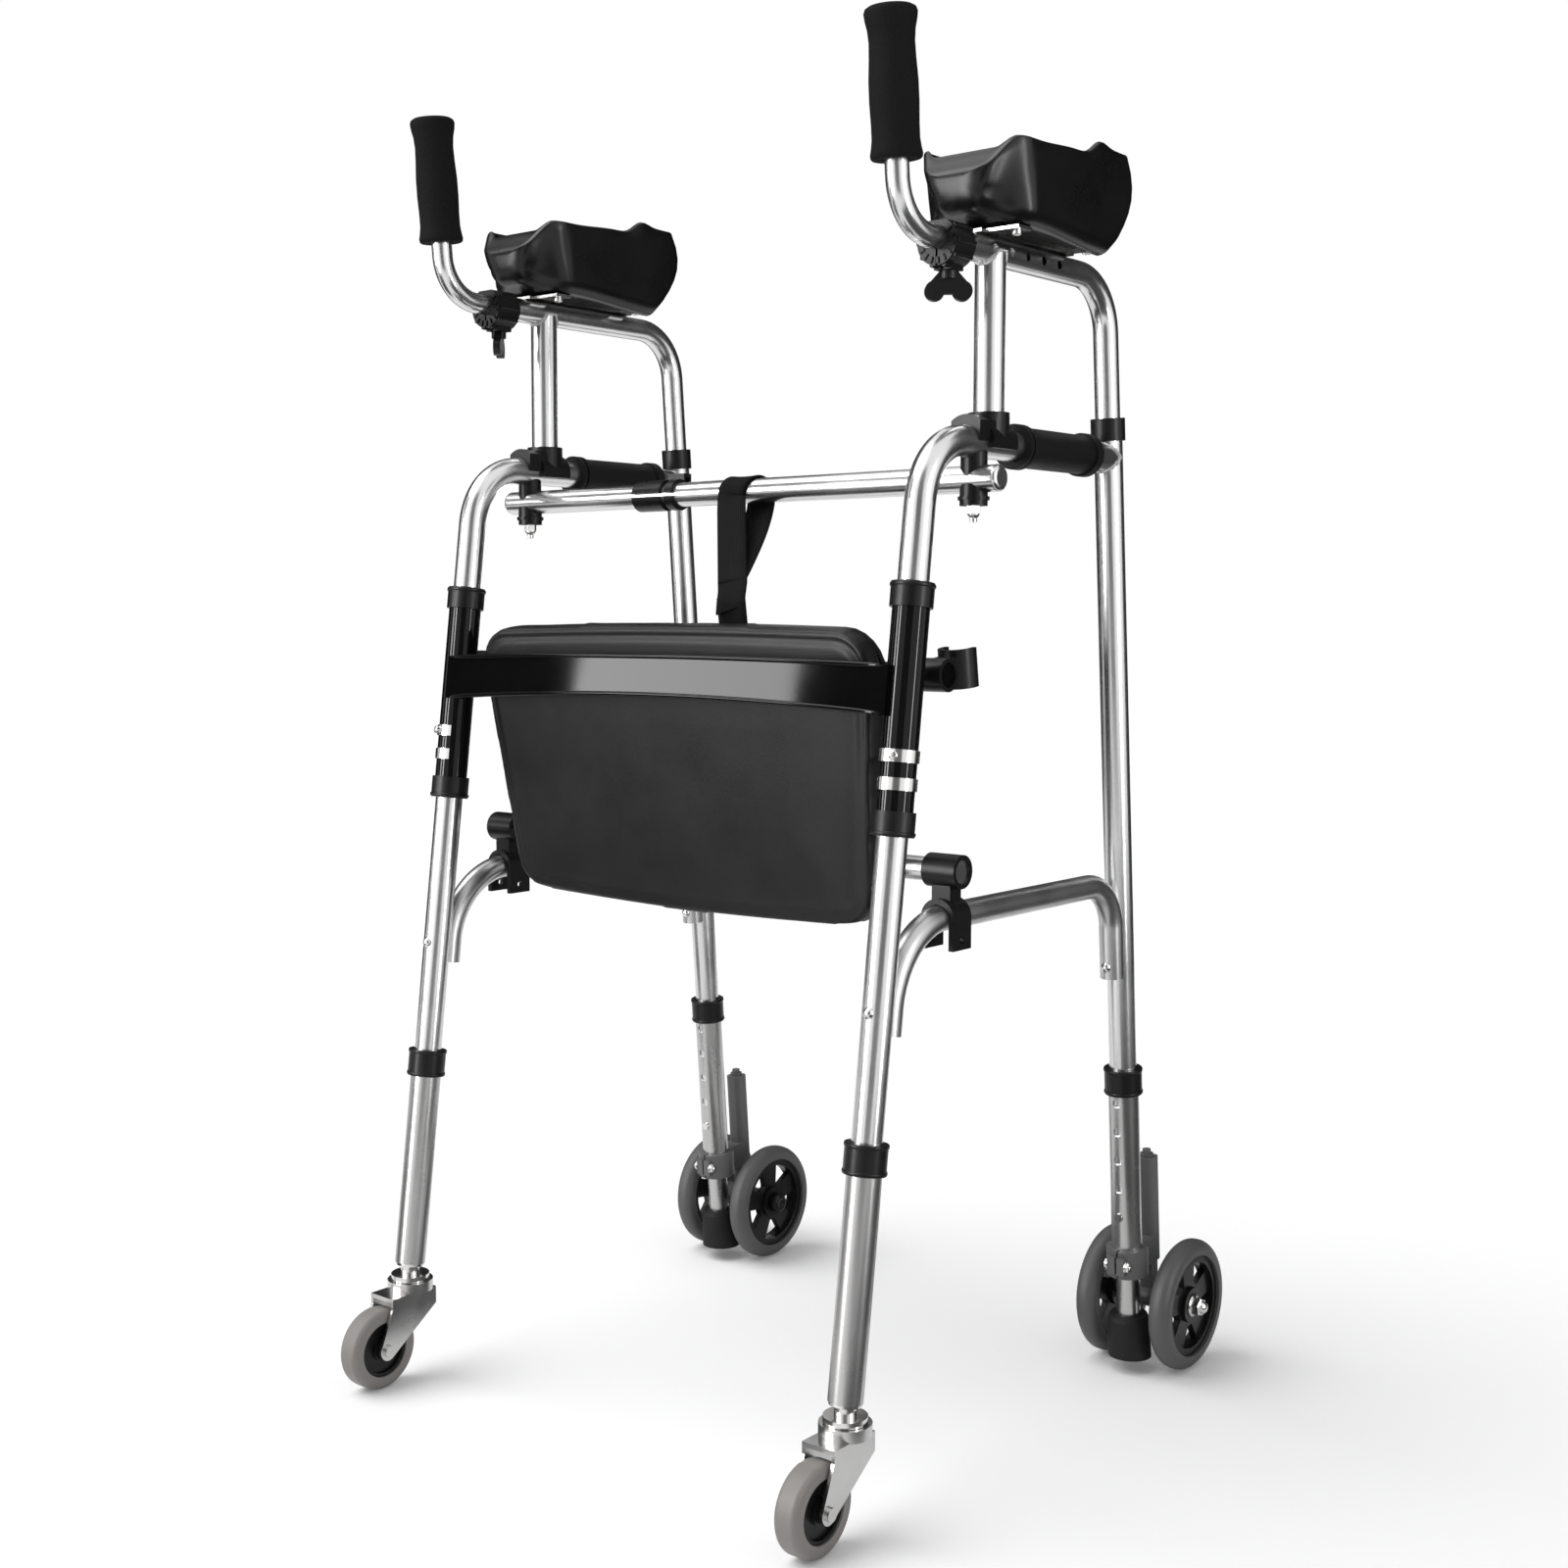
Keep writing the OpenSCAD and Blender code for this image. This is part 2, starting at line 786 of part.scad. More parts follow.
module hand_grips() {
  color("#232325")
    both()
      translate([0, low_grip_y, top_z])
        rotate([-90, 0, 0])
          rotate_extrude()
            difference() {
              union() {
                square([low_grip_r, low_grip_len]);
                for (y = [0, 6, low_grip_len - 10])
                  translate([0, y])
                    square([low_grip_r + 2, y > 10 ? 10 : 4]);
              }
              translate([-1, -1])
                square([tube_r + seat_gap + 1, low_grip_len + 2]);
            }
}

// split clamp that holds the handle rod in the forearm tube
module handle_clamps() {
  color("#1c1c1e")
    both()
      translate([0, clamp_y, arm_z])
        difference() {
          union() {
            translate([0, 0, -3])
              rod_y(clamp_d / 2, 0, clamp_len);
            translate([-8, knob_y - clamp_y - 9, -clamp_d / 2 - 5])
              cube([16, 18, 12]);
            for (k = [0:9])
              translate([0, 0, -3])
                rotate([0, k * 36, 0])
                  translate([clamp_d / 2, 0, 0])
                    rod_y(2, 1.5, clamp_len - 1.5);
          }
          rod_y(rod_r + slide_gap, -1, clamp_len);
          rod_y(arm_r + seat_gap, arm_front_y - clamp_y - seat_gap, clamp_len + 1);
          // room for the trough above
          translate([-50, -1, trough_low - arm_z - run_gap])
            cube([100, clamp_len + 2, 50]);
          // split
          translate([-1, -1, -clamp_d])
            cube([2, clamp_len + 2, clamp_d]);
          translate([0, knob_y - clamp_y, -clamp_d])
            cylinder(d = 6 + 2 * slide_gap, h = clamp_d - arm_r);
        }
}

module ribbon(a, b, wa, wb) {
  hull() {
    translate(a)
      cube([wa, strap_t, 0.6], center = true);
    translate(b)
      cube([wb, strap_t, 0.6], center = true);
  }
}

// strap over the crossbar, its two passes join above the seat
module strap_loop() {
  ro = bar_r + seat_gap + strap_t;
  mid_z = seat_top_z() + strap_w;
  join = [strap_x + 2 * strap_w, hinge_y - seat_up * sin(seat_lean) - 3.5, mid_z];
  color("#1a1a1c")
    difference() {
      union() {
        translate([strap_x, bar_y, bar_z])
          rod_x(ro, -strap_w / 2, strap_w / 2);
        ribbon([strap_x, bar_y - ro + strap_t / 2, bar_z], [join[0], join[1] - 1.4, join[2]], strap_w, strap_w);
        ribbon([strap_x + 14, bar_y + ro - strap_t / 2, bar_z], [join[0], join[1] + 1.4, join[2]], strap_w, strap_w);
        ribbon([join[0], join[1], mid_z + 1], [join[0] + 8, join[1] - 14, seat_top_z() + 7], strap_w, strap_w + 1);
      }
      translate([0, bar_y, bar_z])
        rod_x(bar_r + seat_gap, -200, 200);
    }
}

function seat_top_z() = hinge_z + (seat_up + 3) * cos(seat_lean) - 2;

// T-pieces that ride on the arches and carry the hinge tube
module hinge_claws() {
  color("#1c1c1e")
    both()
      translate([0, hinge_y, hinge_z])
        difference() {
          union() {
            rod_x(seat_tube_r + 4, -16, 16);
            translate([-9, -8, -claw_drop + 6])
              cube([18, 16, claw_drop - 8]);
            translate([0, 0, -claw_drop])
              rod_y(arch_r + 5, -13, 13);
            translate([-arch_r - 5, -13, -claw_drop - 26])
              cube([2 * arch_r + 10, 26, 26]);
          }
          rod_x(seat_tube_r + slide_gap, -30, 30);
          translate([0, 0, -claw_drop])
            rod_y(arch_r + seat_gap, -30, 30);
          translate([-arch_r - seat_gap, -20, -claw_drop - 40])
            cube([2 * arch_r + 2 * seat_gap, 40, 40]);
          translate([0, 0, -claw_drop - 18])
            rod_x(3.2, -30, 30);
        }
}

// local frame of the stored seat: Z along the panel, its origin on the hinge
module on_seat() {
  translate([0, hinge_y, hinge_z])
    rotate([seat_lean, 0, 0])
      children();
}

// outline of the seat panel, counter-clockwise seen from the front
function arc_pts(cx, cv, r, a0) = [for (i = [0:6]) [cx + r * cos(a0 + 15 * i), cv + r * sin(a0 + 15 * i)]];
function edge_pts(p, q, bow) = [for (i = [1:6]) let (u = i / 7)
  [p[0] + (q[0] - p[0]) * u, p[1] + (q[1] - p[1]) * u + bow * 4 * u * (1 - u)]];
seat_rt = 40;
seat_rb = 34;
c1 = arc_pts(seat_top_half - seat_rt, seat_up - seat_rt, seat_rt, 0);
c2 = arc_pts(-seat_top_half + seat_rt, seat_up - seat_rt, seat_rt, 90);
c3 = arc_pts(-seat_low_half + seat_rb, -seat_down + seat_rb, seat_rb, 180);
c4 = arc_pts(seat_low_half - seat_rb, -seat_down + seat_rb, seat_rb, 270);
seat_line = concat(
  c1, edge_pts(c1[6], c2[0], 3), c2, edge_pts(c2[6], c3[0], 0),
  c3, edge_pts(c3[6], c4[0], -6), c4, edge_pts(c4[6], c1[0], 0)
);
seat_mid = [0, (seat_up - seat_down) / 2];
function shrink(s) = [for (p = seat_line) seat_mid + s * (p - seat_mid)];
// rings of the cushion: share of the outline and share of the crown
cush = [[0.968, 0], [0.988, 0.12], [1, 0.34], [0.994, 0.58], [0.97, 0.78], [0.93, 0.88], [0.87, 0.9],
  [0.8, 0.89], [0.73, 0.93], [0.52, 0.97], [0.26, 1]];
roll_v = seat_mid[1] + 0.8 * (seat_up - seat_mid[1]);
function groove(v) = 4 * exp(-pow((v - roll_v) / 6, 2));

module seat_cushion() {
  n = len(seat_line);
  m = len(cush);
  pts = concat(
    [for (c = cush) each [for (p = shrink(c[0])) [p[0], -cushion_t * c[1] + (c[0] < 0.9 ? groove(p[1]) : 0), p[1]]]],
    [[seat_mid[0], 0, seat_mid[1]], [seat_mid[0], -cushion_t - 0.2, seat_mid[1]]]
  );
  skin = [for (j = [0:m - 2], i = [0:n - 1]) let (k = (i + 1) % n, a = j * n, b = (j + 1) * n)
    each [[a + i, b + i, b + k], [a + i, b + k, a + k]]];
  back = [for (i = [0:n - 1]) [n * m, i, (i + 1) % n]];
  face = [for (i = [0:n - 1]) [n * m + 1, (m - 1) * n + (i + 1) % n, (m - 1) * n + i]];
  color("#303032")
    on_seat()
      translate([0, -seat_tube_r - board_t - 2 * seat_gap, 0])
        polyhedron(points = pts, faces = concat(skin, back, face), convexity = 4);
}

module seat_board() {
  color("#19191b")
    on_seat()
      difference() {
        union() {
          translate([0, -seat_tube_r - seat_gap, 0])
            rotate([90, 0, 0])
              linear_extrude(board_t)
                polygon(shrink(0.955));
          // cradles of the two tubes
          for (x = [-0.68, 0.68] * seat_top_half, v = [0, seat_tube_gap])
            translate([x - 14, -seat_tube_r - seat_gap - 1, v - seat_tube_r - 4])
              cube([28, 2 * seat_tube_r + 5, 2 * seat_tube_r + 8]);
        }
        for (v = [0, seat_tube_gap])
          translate([0, 0, v])
            rod_x(seat_tube_r + seat_gap, -400, 400);
      }
}

module seat_tube() {
  difference() {
    rod_x(seat_tube_r, -half_track - 14, half_track + 14);
    rod_x(seat_tube_r - 1.5, -half_track - 12, half_track + 12);
  }
}

module seat_hinge_tube() {
  color("gainsboro")
    on_seat()
      seat_tube();
}

module seat_upper_tube() {
  color("#202022")
    on_seat()
      translate([0, 0, seat_tube_gap])
        seat_tube();
}

// saddles at the free edge that land on the arches when the seat is down
module seat_claws() {
  color("#1c1c1e")
    on_seat()
      translate([0, 0, seat_tube_gap])
        both()
          difference() {
            union() {
              rod_x(seat_tube_r + 3.6, -16, 16);
              translate([-9, 4, -11])
                cube([18, claw_drop - 16, 22]);
              translate([0, claw_drop, -16])
                cylinder(r = arch_r + 5, h = 32);
            }
            rod_x(seat_tube_r + seat_gap, -30, 30);
            translate([0, claw_drop, -30])
              cylinder(r = arch_r + run_gap, h = 60);
            translate([-40, claw_drop + 5, -30])
              cube([80, 40, 60]);
            translate([-arch_r - run_gap, claw_drop, -30])
              cube([2 * arch_r + 2 * run_gap, 40, 60]);
          }
}

module front_extension(s) {
  color("silver")
    side(s)
      on_front(front_ext_z) {
        h = (front_collar_z - front_ext_z) / cos(front_rake) - 4;
        difference() {
          cylinder(r = ext_r, h = h);
          translate([0, 0, -1])
            cylinder(r = ext_ri, h = h + 2);
          // height holes on the rear face
          for (k = [0:4])
            translate([0, 0, 60 + k * leg_pitch])
              rod_y(button_d / 2, 0, ext_r + 4);
        }
      }
}

module leg_collar() {
  difference() {
    translate([0, 0, -leg_collar_h])
      cylinder(d = collar_od, h = leg_collar_h);
    translate([0, 0, -leg_collar_h - 1])
      cylinder(r = ext_r + seat_gap, h = leg_collar_h - 3 + seat_gap);
    translate([0, 0, -10])
      cylinder(r = tube_r + run_gap, h = 20);
  }
}

module front_collar(s) {
  color("#2a2a2c")
    side(s)
      on_front(front_collar_z)
        leg_collar();
}

module rear_collar(s) {
  color("#2a2a2c")
    side(s)
      on_rear()
        translate([0, 0, rear_collar_z / cos(rear_rake)])
          leg_collar();
}

module left_front_extension() {
  front_extension(-1);
}

module right_front_extension() {
  front_extension(1);
}

module left_front_collar() {
  front_collar(-1);
}

module right_front_collar() {
  front_collar(1);
}

module left_rear_collar() {
  rear_collar(-1);
}

module right_rear_collar() {
  rear_collar(1);
}

// plug in the raked tube, upright neck, upper race and king pin
module caster_stem(s) {
  color("whitesmoke")
    side(s) {
      on_front(front_ext_z)
        translate([0, 0, -1])
          cylinder(r = ext_ri - seat_gap, h = 21);
      on_front(front_ext_z)
        translate([0, 0, -2.5])
          cylinder(r = ext_r - 1, h = 2.5 - seat_gap);
      translate([0, swivel_y, race_z])
        cylinder(r = 9, h = front_ext_z - race_z + 4);
      translate([0, swivel_y, race_z + run_gap])
        cylinder(r = 18, h = 5);
      translate([0, swivel_y, race_z - 21])
        cylinder(r = 5, h = 24);
      translate([0, swivel_y, race_z - 20])
        cylinder(r = 8, h = 2.4);
    }
}

module left_caster_stem() {
  caster_stem(-1);
}

module right_caster_stem() {
  caster_stem(1);
}

// crown, lower race, two cheeks and the riveted axle
module caster_fork(s) {
  gap = caster_w / 2 + 2;
  cheek = 3;
  crown = race_z - 13;
  color("silver")
    side(s)
      translate([0, swivel_y, 0])
        difference() {
          union() {
            // lower race
            translate([0, 0, crown + 3])
              cylinder(r = 21.5, h = race_z - crown - 3);
            translate([-gap - cheek, -caster_trail + 6, crown])
              cube([2 * gap + 2 * cheek, caster_trail + 12, 4]);
            for (x = [-gap - cheek, gap])
              translate([x + cheek, 0, 0])
                rotate([0, -90, 0])
                  linear_extrude(cheek)
                    union() {
                      polygon([
                        [crown + 4, 18], [crown - 12, 18], [caster_r - 7.9, -caster_trail + 4.3],
                        [caster_r + 1.4, -caster_trail - 8.9], [crown - 6, -caster_trail + 6], [crown + 4, -caster_trail + 6]
                      ]);
                      translate([caster_r, -caster_trail])
                        circle(r = 9);
                    }
            // axle with its heads
            translate([0, -caster_trail, caster_r]) {
              rod_x(caster_axle_d / 2, -gap - cheek - 1, gap + cheek + 1);
              for (x = [-gap - cheek - 3, gap + cheek])
                rod_x(caster_axle_d * 0.7, x, x + 3);
            }
          }
          translate([0, 0, crown - 10])
            cylinder(r = 5 + slide_gap, h = 60);
        }
}

module left_caster_fork() {
  caster_fork(-1);
}

module right_caster_fork() {
  caster_fork(1);
}

// body of a wheel, drawn about its own axis along X
module tyre(ro, ri, w, f) {
  rotate([0, 90, 0])
    rotate_extrude()
      intersection() {
        union() {
          translate([ri, -w / 2])
            square([ro - ri - f, w]);
          translate([ri, -w / 2 + f])
            square([ro - ri, w - 2 * f]);
          for (y = [-1, 1])
            translate([ro - f, y * (w / 2 - f)])
              circle(r = f);
        }
        translate([ri, -w])
          square([ro, 2 * w]);
      }
}

module caster_hub(s) {
  color("#1c1c1e")
    side(s)
      translate([0, swivel_y - caster_trail, caster_r])
        rotate([0, 90, 0])
          difference() {
            union() {
              translate([0, 0, -caster_w / 2 + 2])
                cylinder(r = caster_r - 12, h = caster_w - 4);
              translate([0, 0, -caster_w / 2 - 1])
                cylinder(r = 9, h = caster_w + 2);
            }
            cylinder(r = caster_axle_d / 2 + slide_gap, h = 60, center = true);
            for (m = [-1, 1])
              translate([0, 0, m * (caster_w / 2 + 1)])
                difference() {
                  cylinder(r = caster_r - 15, h = 12, center = true);
                  cylinder(r = 11, h = 14, center = true);
                }
          }
}

module left_caster_hub() {
  caster_hub(-1);
}

module right_caster_hub() {
  caster_hub(1);
}

module caster_tyre(s) {
  color("gray")
    side(s)
      translate([0, swivel_y - caster_trail, caster_r])
        tyre(caster_r, caster_r - 12 + seat_gap, caster_w, 5);
}

module left_caster_tyre() {
  caster_tyre(-1);
}

module right_caster_tyre() {
  caster_tyre(1);
}

// upper part slides on the leg, the swaged lower part stands in the rubber foot
module rear_extension(s) {
  step = 98;
  top = rear_collar_z / cos(rear_rake) - 4;
  color("silver")
    side(s)
      on_rear()
        difference() {
          union() {
            translate([0, 0, step])
              cylinder(r = ext_r, h = top - step);
            translate([0, 0, foot_in])
              cylinder(d = foot_tube_od, h = step - foot_in + 1);
          }
          translate([0, 0, step + 4])
            cylinder(r = ext_ri, h = 300);
          translate([0, 0, 10])
            cylinder(d = foot_tube_od - 3, h = 100);
          for (k = [0:4])
            translate([0, 0, button_z / cos(rear_rake) + k * leg_pitch])
              rod_y(button_d / 2 + slide_gap, -ext_r - 4, 0);
        }
}

module left_rear_extension() {
  rear_extension(-1);
}

module right_rear_extension() {
  rear_extension(1);
}

// clamp ring on the leg and the housing of the brake spring behind it
module wheel_bracket(s) {
  low = 97;
  high = 201;
  hw = plunger_w / 2 + 3;
  color("dimgray")
    side(s)
      on_rear()
        difference() {
          union() {
            translate([0, 0, low])
              cylinder(r = ext_r + 5.5, h = 27);
            translate([-hw, 0, low])
              cube([2 * hw, axle_off, 27]);
            // spring housing with rounded edges, and its end plug
            translate([0, axle_off, low])
              linear_extrude(high - low) {
                square([2 * hw, 2 * hw - 10], center = true);
                square([2 * hw - 10, 2 * hw], center = true);
                for (x = [-1, 1], y = [-1, 1])
                  translate([x, y] * (hw - 5))
                    circle(r = 5);
              }
            translate([0, axle_off, high - 1])
              cylinder(r = hw - 2.5, h = 4);
            translate([0, axle_off, high - 1])
              cylinder(r = 4.5, h = 8, $fn = 6);
            // ear of the clamp screw
            translate([-9, -ext_r - 9, low + 5])
              cube([18, 12, 17]);
          }
          translate([0, 0, low - 1])
            cylinder(r = ext_r + seat_gap, h = 40);
          translate([-plunger_w / 2 - slide_gap, axle_off - plunger_w / 2 - slide_gap, low - 1])
            cube([plunger_w + 2 * slide_gap, plunger_w + 2 * slide_gap, high - low - 5]);
          translate([-1, -ext_r - 20, low - 1])
            cube([2, 24, 30]);
          translate([0, -ext_r - 5, low + 13.5])
            rod_x(2.6, -30, 30);
        }
}

module left_wheel_bracket() {
  wheel_bracket(-1);
}

module right_wheel_bracket() {
  wheel_bracket(1);
}

// rubber foot, cut level with the floor
module rear_foot(s) {
  color("#19191b")
    side(s)
      difference() {
        on_rear()
          difference() {
            union() {
              cylinder(d1 = foot_d, d2 = foot_d - 3, h = foot_top_z - 4);
              translate([0, 0, foot_top_z - 4.01])
                cylinder(d1 = foot_d - 3, d2 = foot_d - 7, h = 4);
            }
            translate([0, 0, foot_in - seat_gap])
              cylinder(d = foot_tube_od + 2 * seat_gap, h = 100);
          }
        translate([-100, rear_floor_y - 100, foot_gap - 100])
          cube([200, 200, 100]);
      }
}

module left_rear_foot() {
  rear_foot(-1);
}

module right_rear_foot() {
  rear_foot(1);
}

// spring button of the height setting, it sits in the leg tube and looks out through both walls
module height_button(s) {
  color("whitesmoke")
    side(s)
      on_rear()
        translate([0, 0, button_z / cos(rear_rake)])
          rod_y(button_d / 2, -ext_r - 1.6, -tube_ri + 4.5);
}

module left_height_button() {
  height_button(-1);
}

module right_height_button() {
  height_button(1);
}

// square plunger in the housing and the knuckle that holds the axle
module axle_slider(s) {
  half = wheel_off - wheel_w / 2 - 2.5;
  color("#2c2c2e")
    side(s)
      on_rear()
        translate([0, axle_off, 0])
          difference() {
            union() {
              translate([-plunger_w / 2, -plunger_w / 2, axle_z])
                cube([plunger_w, plunger_w, 150 - axle_z]);
              translate([0, 0, axle_z])
                rod_x(axle_d / 2 + 6, -half, half);
            }
            translate([0, 0, axle_z])
              rod_x(axle_d / 2 + slide_gap, -60, 60);
          }
}

module left_axle_slider() {
  axle_slider(-1);
}

module right_axle_slider() {
  axle_slider(1);
}

// compression spring between the plunger and the roof of the housing
spring_low = 150.4;
spring_high = 194.6;
spring_d = 8.8;
wire_d = 1.6;
turns = 5;
steps = 12;
function coil(i) = let (a = 360 * i / steps)
  [spring_d / 2 * cos(a), spring_d / 2 * sin(a), spring_low + wire_d / 2 + (spring_high - spring_low - wire_d) * i / (steps * turns)];

module brake_spring(s) {
  k = 6;
  n = steps * turns;
  pts = [for (i = [0:n]) let (c = coil(i), a = 360 * i / steps)
    each [for (j = [0:k - 1]) let (b = 360 * j / k)
      c + wire_d / 2 * [cos(a) * cos(b), sin(a) * cos(b), sin(b)]]];
  skin = [for (i = [0:n - 1], j = [0:k - 1]) let (q = (j + 1) % k)
    each [[i * k + j, (i + 1) * k + q, (i + 1) * k + j], [i * k + j, i * k + q, (i + 1) * k + q]]];
  ends = [for (j = [1:k - 2]) each [[0, j + 1, j], [n * k, n * k + j, n * k + j + 1]]];
  echo(least_gap_between_coils = (spring_high - spring_low - wire_d) / turns - wire_d);
  color("silver")
    side(s)
      on_rear()
        translate([0, axle_off, 0])
          polyhedron(points = pts, faces = concat(skin, ends), convexity = 8);
}

module left_brake_spring() {
  brake_spring(-1);
}

module right_brake_spring() {
  brake_spring(1);
}

// five-spoke hub, its bore is taken by the axle
module spoke_hub(r) {
  w = wheel_w - 6;
  rotate([0, 90, 0]) {
    difference() {
      translate([0, 0, -w / 2])
        cylinder(r = r, h = w);
      translate([0, 0, -w])
        cylinder(r = r - 7, h = 2 * w);
    }
    translate([0, 0, -w / 2])
      cylinder(r = 17, h = w);
    translate([0, 0, -w / 2 + 4])
      linear_extrude(w - 8)
        difference() {
          circle(r = r - 2);
          for (k = [0:4])
            rotate(k * 72)
              polygon([[21, -4], [r - 9, -14], [r - 8, -8], [r - 7.4, 0], [r - 8, 8], [r - 9, 14], [21, 4]]);
        }
  }
}

module rear_hubs(s) {
  end = wheel_off + wheel_w / 2 + 3;
  nut_at = wheel_off + wheel_w / 2 - 3 + seat_gap;
  color("#19191b")
    side(s)
      on_rear()
        translate([0, axle_off, axle_z]) {
          // a hub near each end of the axle
          for (m = [-1, 1])
            translate([m * wheel_off, 0, 0])
              difference() {
                spoke_hub(wheel_r - 14);
                rod_x(axle_d / 2 + seat_gap, -wheel_w, wheel_w);
              }
          // the axle with its nuts
          rod_x(axle_d / 2, -end, end);
          for (m = [-1, 1])
            translate([m > 0 ? nut_at : -end - 3, 0, 0])
              rotate([0, 90, 0])
                cylinder(r = axle_d * 0.75, h = end + 3 - nut_at, $fn = 6);
        }
}

module left_rear_hubs() {
  rear_hubs(-1);
}

module right_rear_hubs() {
  rear_hubs(1);
}

module rear_tyres(s) {
  color("dimgray")
    side(s)
      on_rear()
        for (m = [-1, 1])
          translate([m * wheel_off, axle_off, axle_z])
            tyre(wheel_r, wheel_r - 14 + seat_gap, wheel_w, 0.45 * wheel_w);
}

module left_rear_tyres() {
  rear_tyres(-1);
}

module right_rear_tyres() {
  rear_tyres(1);
}

// handle: straight part in the forearm tube, bend, leaning upright part
module handle_rod(s) {
  color("gainsboro")
    side(s)
      translate([0, handle_y, arm_z])
        rotate([180, 0, 0])
          bent_tube(rod_r, rod_r - 1.6, rod_bend_r, 90 - handle_lean, rod_end_y - handle_y, r2(grip_at + grip_len - 6));
}

module left_handle_rod() {
  handle_rod(-1);
}

module right_handle_rod() {
  handle_rod(1);
}

module handle_grip(s) {
  r = grip_d / 2;
  color("#1c1c1e")
    side(s)
      translate([0, handle_y, arm_z])
        rotate([handle_lean, 0, 0])
          translate([0, 0, grip_at])
            rotate_extrude()
              difference() {
                polygon([
                  [0, 0], [r + 1.2, 0], [r + 2, 1.6], [r + 1.8, 6], [r + 0.4, 13], [r + 0.2, 24], [r + 1, 48],
                  [r + 0.6, 66], [r - 0.6, 84], [r - 0.4, 94], [r + 1.4, grip_len - 10], [r + 2.4, grip_len - 5],
                  [r + 1.8, grip_len - 2], [r - 1, grip_len], [0, grip_len]
                ]);
                translate([-1, -1])
                  square([rod_r + seat_gap + 1, grip_len - 4]);
              }
}

module left_handle_grip() {
  handle_grip(-1);
}

module right_handle_grip() {
  handle_grip(1);
}

// clamp screw with its moulded wings
module wing_knob(s) {
  z = arm_z - clamp_d / 2 - 5 - run_gap;
  color("#1c1c1e")
    side(s)
      translate([0, knob_y, 0]) {
        translate([0, 0, z - 6])
          cylinder(r = 3, h = 12);
        translate([0, 0, z - 6])
          cylinder(r = 7, h = 6);
        rotate([0, 0, s > 0 ? 40 : 130])
          translate([0, 3.5, z])
            rotate([90, 0, 0])
              linear_extrude(7)
                union() {
                  polygon([[-7, 0], [7, 0], [wing_w / 2 - 4, -9], [8, -18], [-8, -18], [-wing_w / 2 + 4, -9]]);
                  for (x = [-1, 1])
                    translate([x * (wing_w / 2 - 8), -15.5])
                      circle(r = 8);
                }
      }
}

module left_wing_knob() {
  wing_knob(-1);
}

module right_wing_knob() {
  wing_knob(1);
}

left_side_frame();
right_side_frame();
arch_braces();
arch_rivets();
crossbar();
crossbar_saddles();
crossbar_bolts();
storage_clip();
front_brace();
tube_collars();
brace_bands();
forearm_frames();
post_feet();
forearm_troughs();
trough_plates();
hand_grips();
handle_clamps();
strap_loop();
hinge_claws();
seat_cushion();
seat_board();
seat_hinge_tube();
seat_upper_tube();
seat_claws();
left_front_extension();
right_front_extension();
left_front_collar();
right_front_collar();
left_caster_stem();
right_caster_stem();
left_caster_fork();
right_caster_fork();
left_caster_hub();
right_caster_hub();
left_caster_tyre();
right_caster_tyre();
left_rear_extension();
right_rear_extension();
left_rear_collar();
right_rear_collar();
left_wheel_bracket();
right_wheel_bracket();
left_rear_foot();
right_rear_foot();
left_height_button();
right_height_button();
left_axle_slider();
right_axle_slider();
left_brake_spring();
right_brake_spring();
left_rear_hubs();
right_rear_hubs();
left_rear_tyres();
right_rear_tyres();
left_handle_rod();
right_handle_rod();
left_handle_grip();
right_handle_grip();
left_wing_knob();
right_wing_knob();
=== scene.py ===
# %% [markdown]
# # An upright walker, dressed in Blender
# The tubes, wheels and fittings come from the imported CAD frame, already in place and in metres.
# This script gives every surface its finish, replaces the soft pieces by softer ones, and adds small
# fittings.

# %% Load the frame
import json
import math

import bmesh
import bpy
import numpy as np
from mathutils import Matrix, Vector


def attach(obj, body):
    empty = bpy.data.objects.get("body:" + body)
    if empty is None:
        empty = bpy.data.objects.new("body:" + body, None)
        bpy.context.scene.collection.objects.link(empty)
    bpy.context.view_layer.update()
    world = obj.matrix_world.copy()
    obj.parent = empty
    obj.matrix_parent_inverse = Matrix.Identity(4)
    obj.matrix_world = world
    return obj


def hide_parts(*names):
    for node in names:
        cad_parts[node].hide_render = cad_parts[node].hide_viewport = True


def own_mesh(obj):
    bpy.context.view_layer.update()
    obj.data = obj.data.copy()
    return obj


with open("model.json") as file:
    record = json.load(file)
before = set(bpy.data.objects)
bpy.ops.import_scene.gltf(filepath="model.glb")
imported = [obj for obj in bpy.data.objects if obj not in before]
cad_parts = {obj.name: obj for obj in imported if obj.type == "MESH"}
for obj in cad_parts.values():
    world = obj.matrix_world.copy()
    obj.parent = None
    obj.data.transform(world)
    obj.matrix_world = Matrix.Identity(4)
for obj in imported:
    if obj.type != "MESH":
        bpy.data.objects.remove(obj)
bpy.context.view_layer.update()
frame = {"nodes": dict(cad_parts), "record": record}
nodes = frame["nodes"]
scene = bpy.context.scene

# %% [markdown]
# ## The camera
# The walker is seen from its front corner, a little below the handles. The lens and the place were
# worked out from points that are easy to find, such as the wheel centres and the ends of the collars.

# %% Camera
EYE, YAW, PITCH = (1.1558, -1.4321, 0.7239), 0.7013, -0.0913
FOCUS_PX, CENTRE_PX, FRAME_PX, SENSOR = 2001.4, (751.8, 811.7), 1600, 36


def add(name, data):
    """Puts a mesh, lamp or camera into the scene."""
    obj = bpy.data.objects.new(name, data)
    scene.collection.objects.link(obj)
    return obj


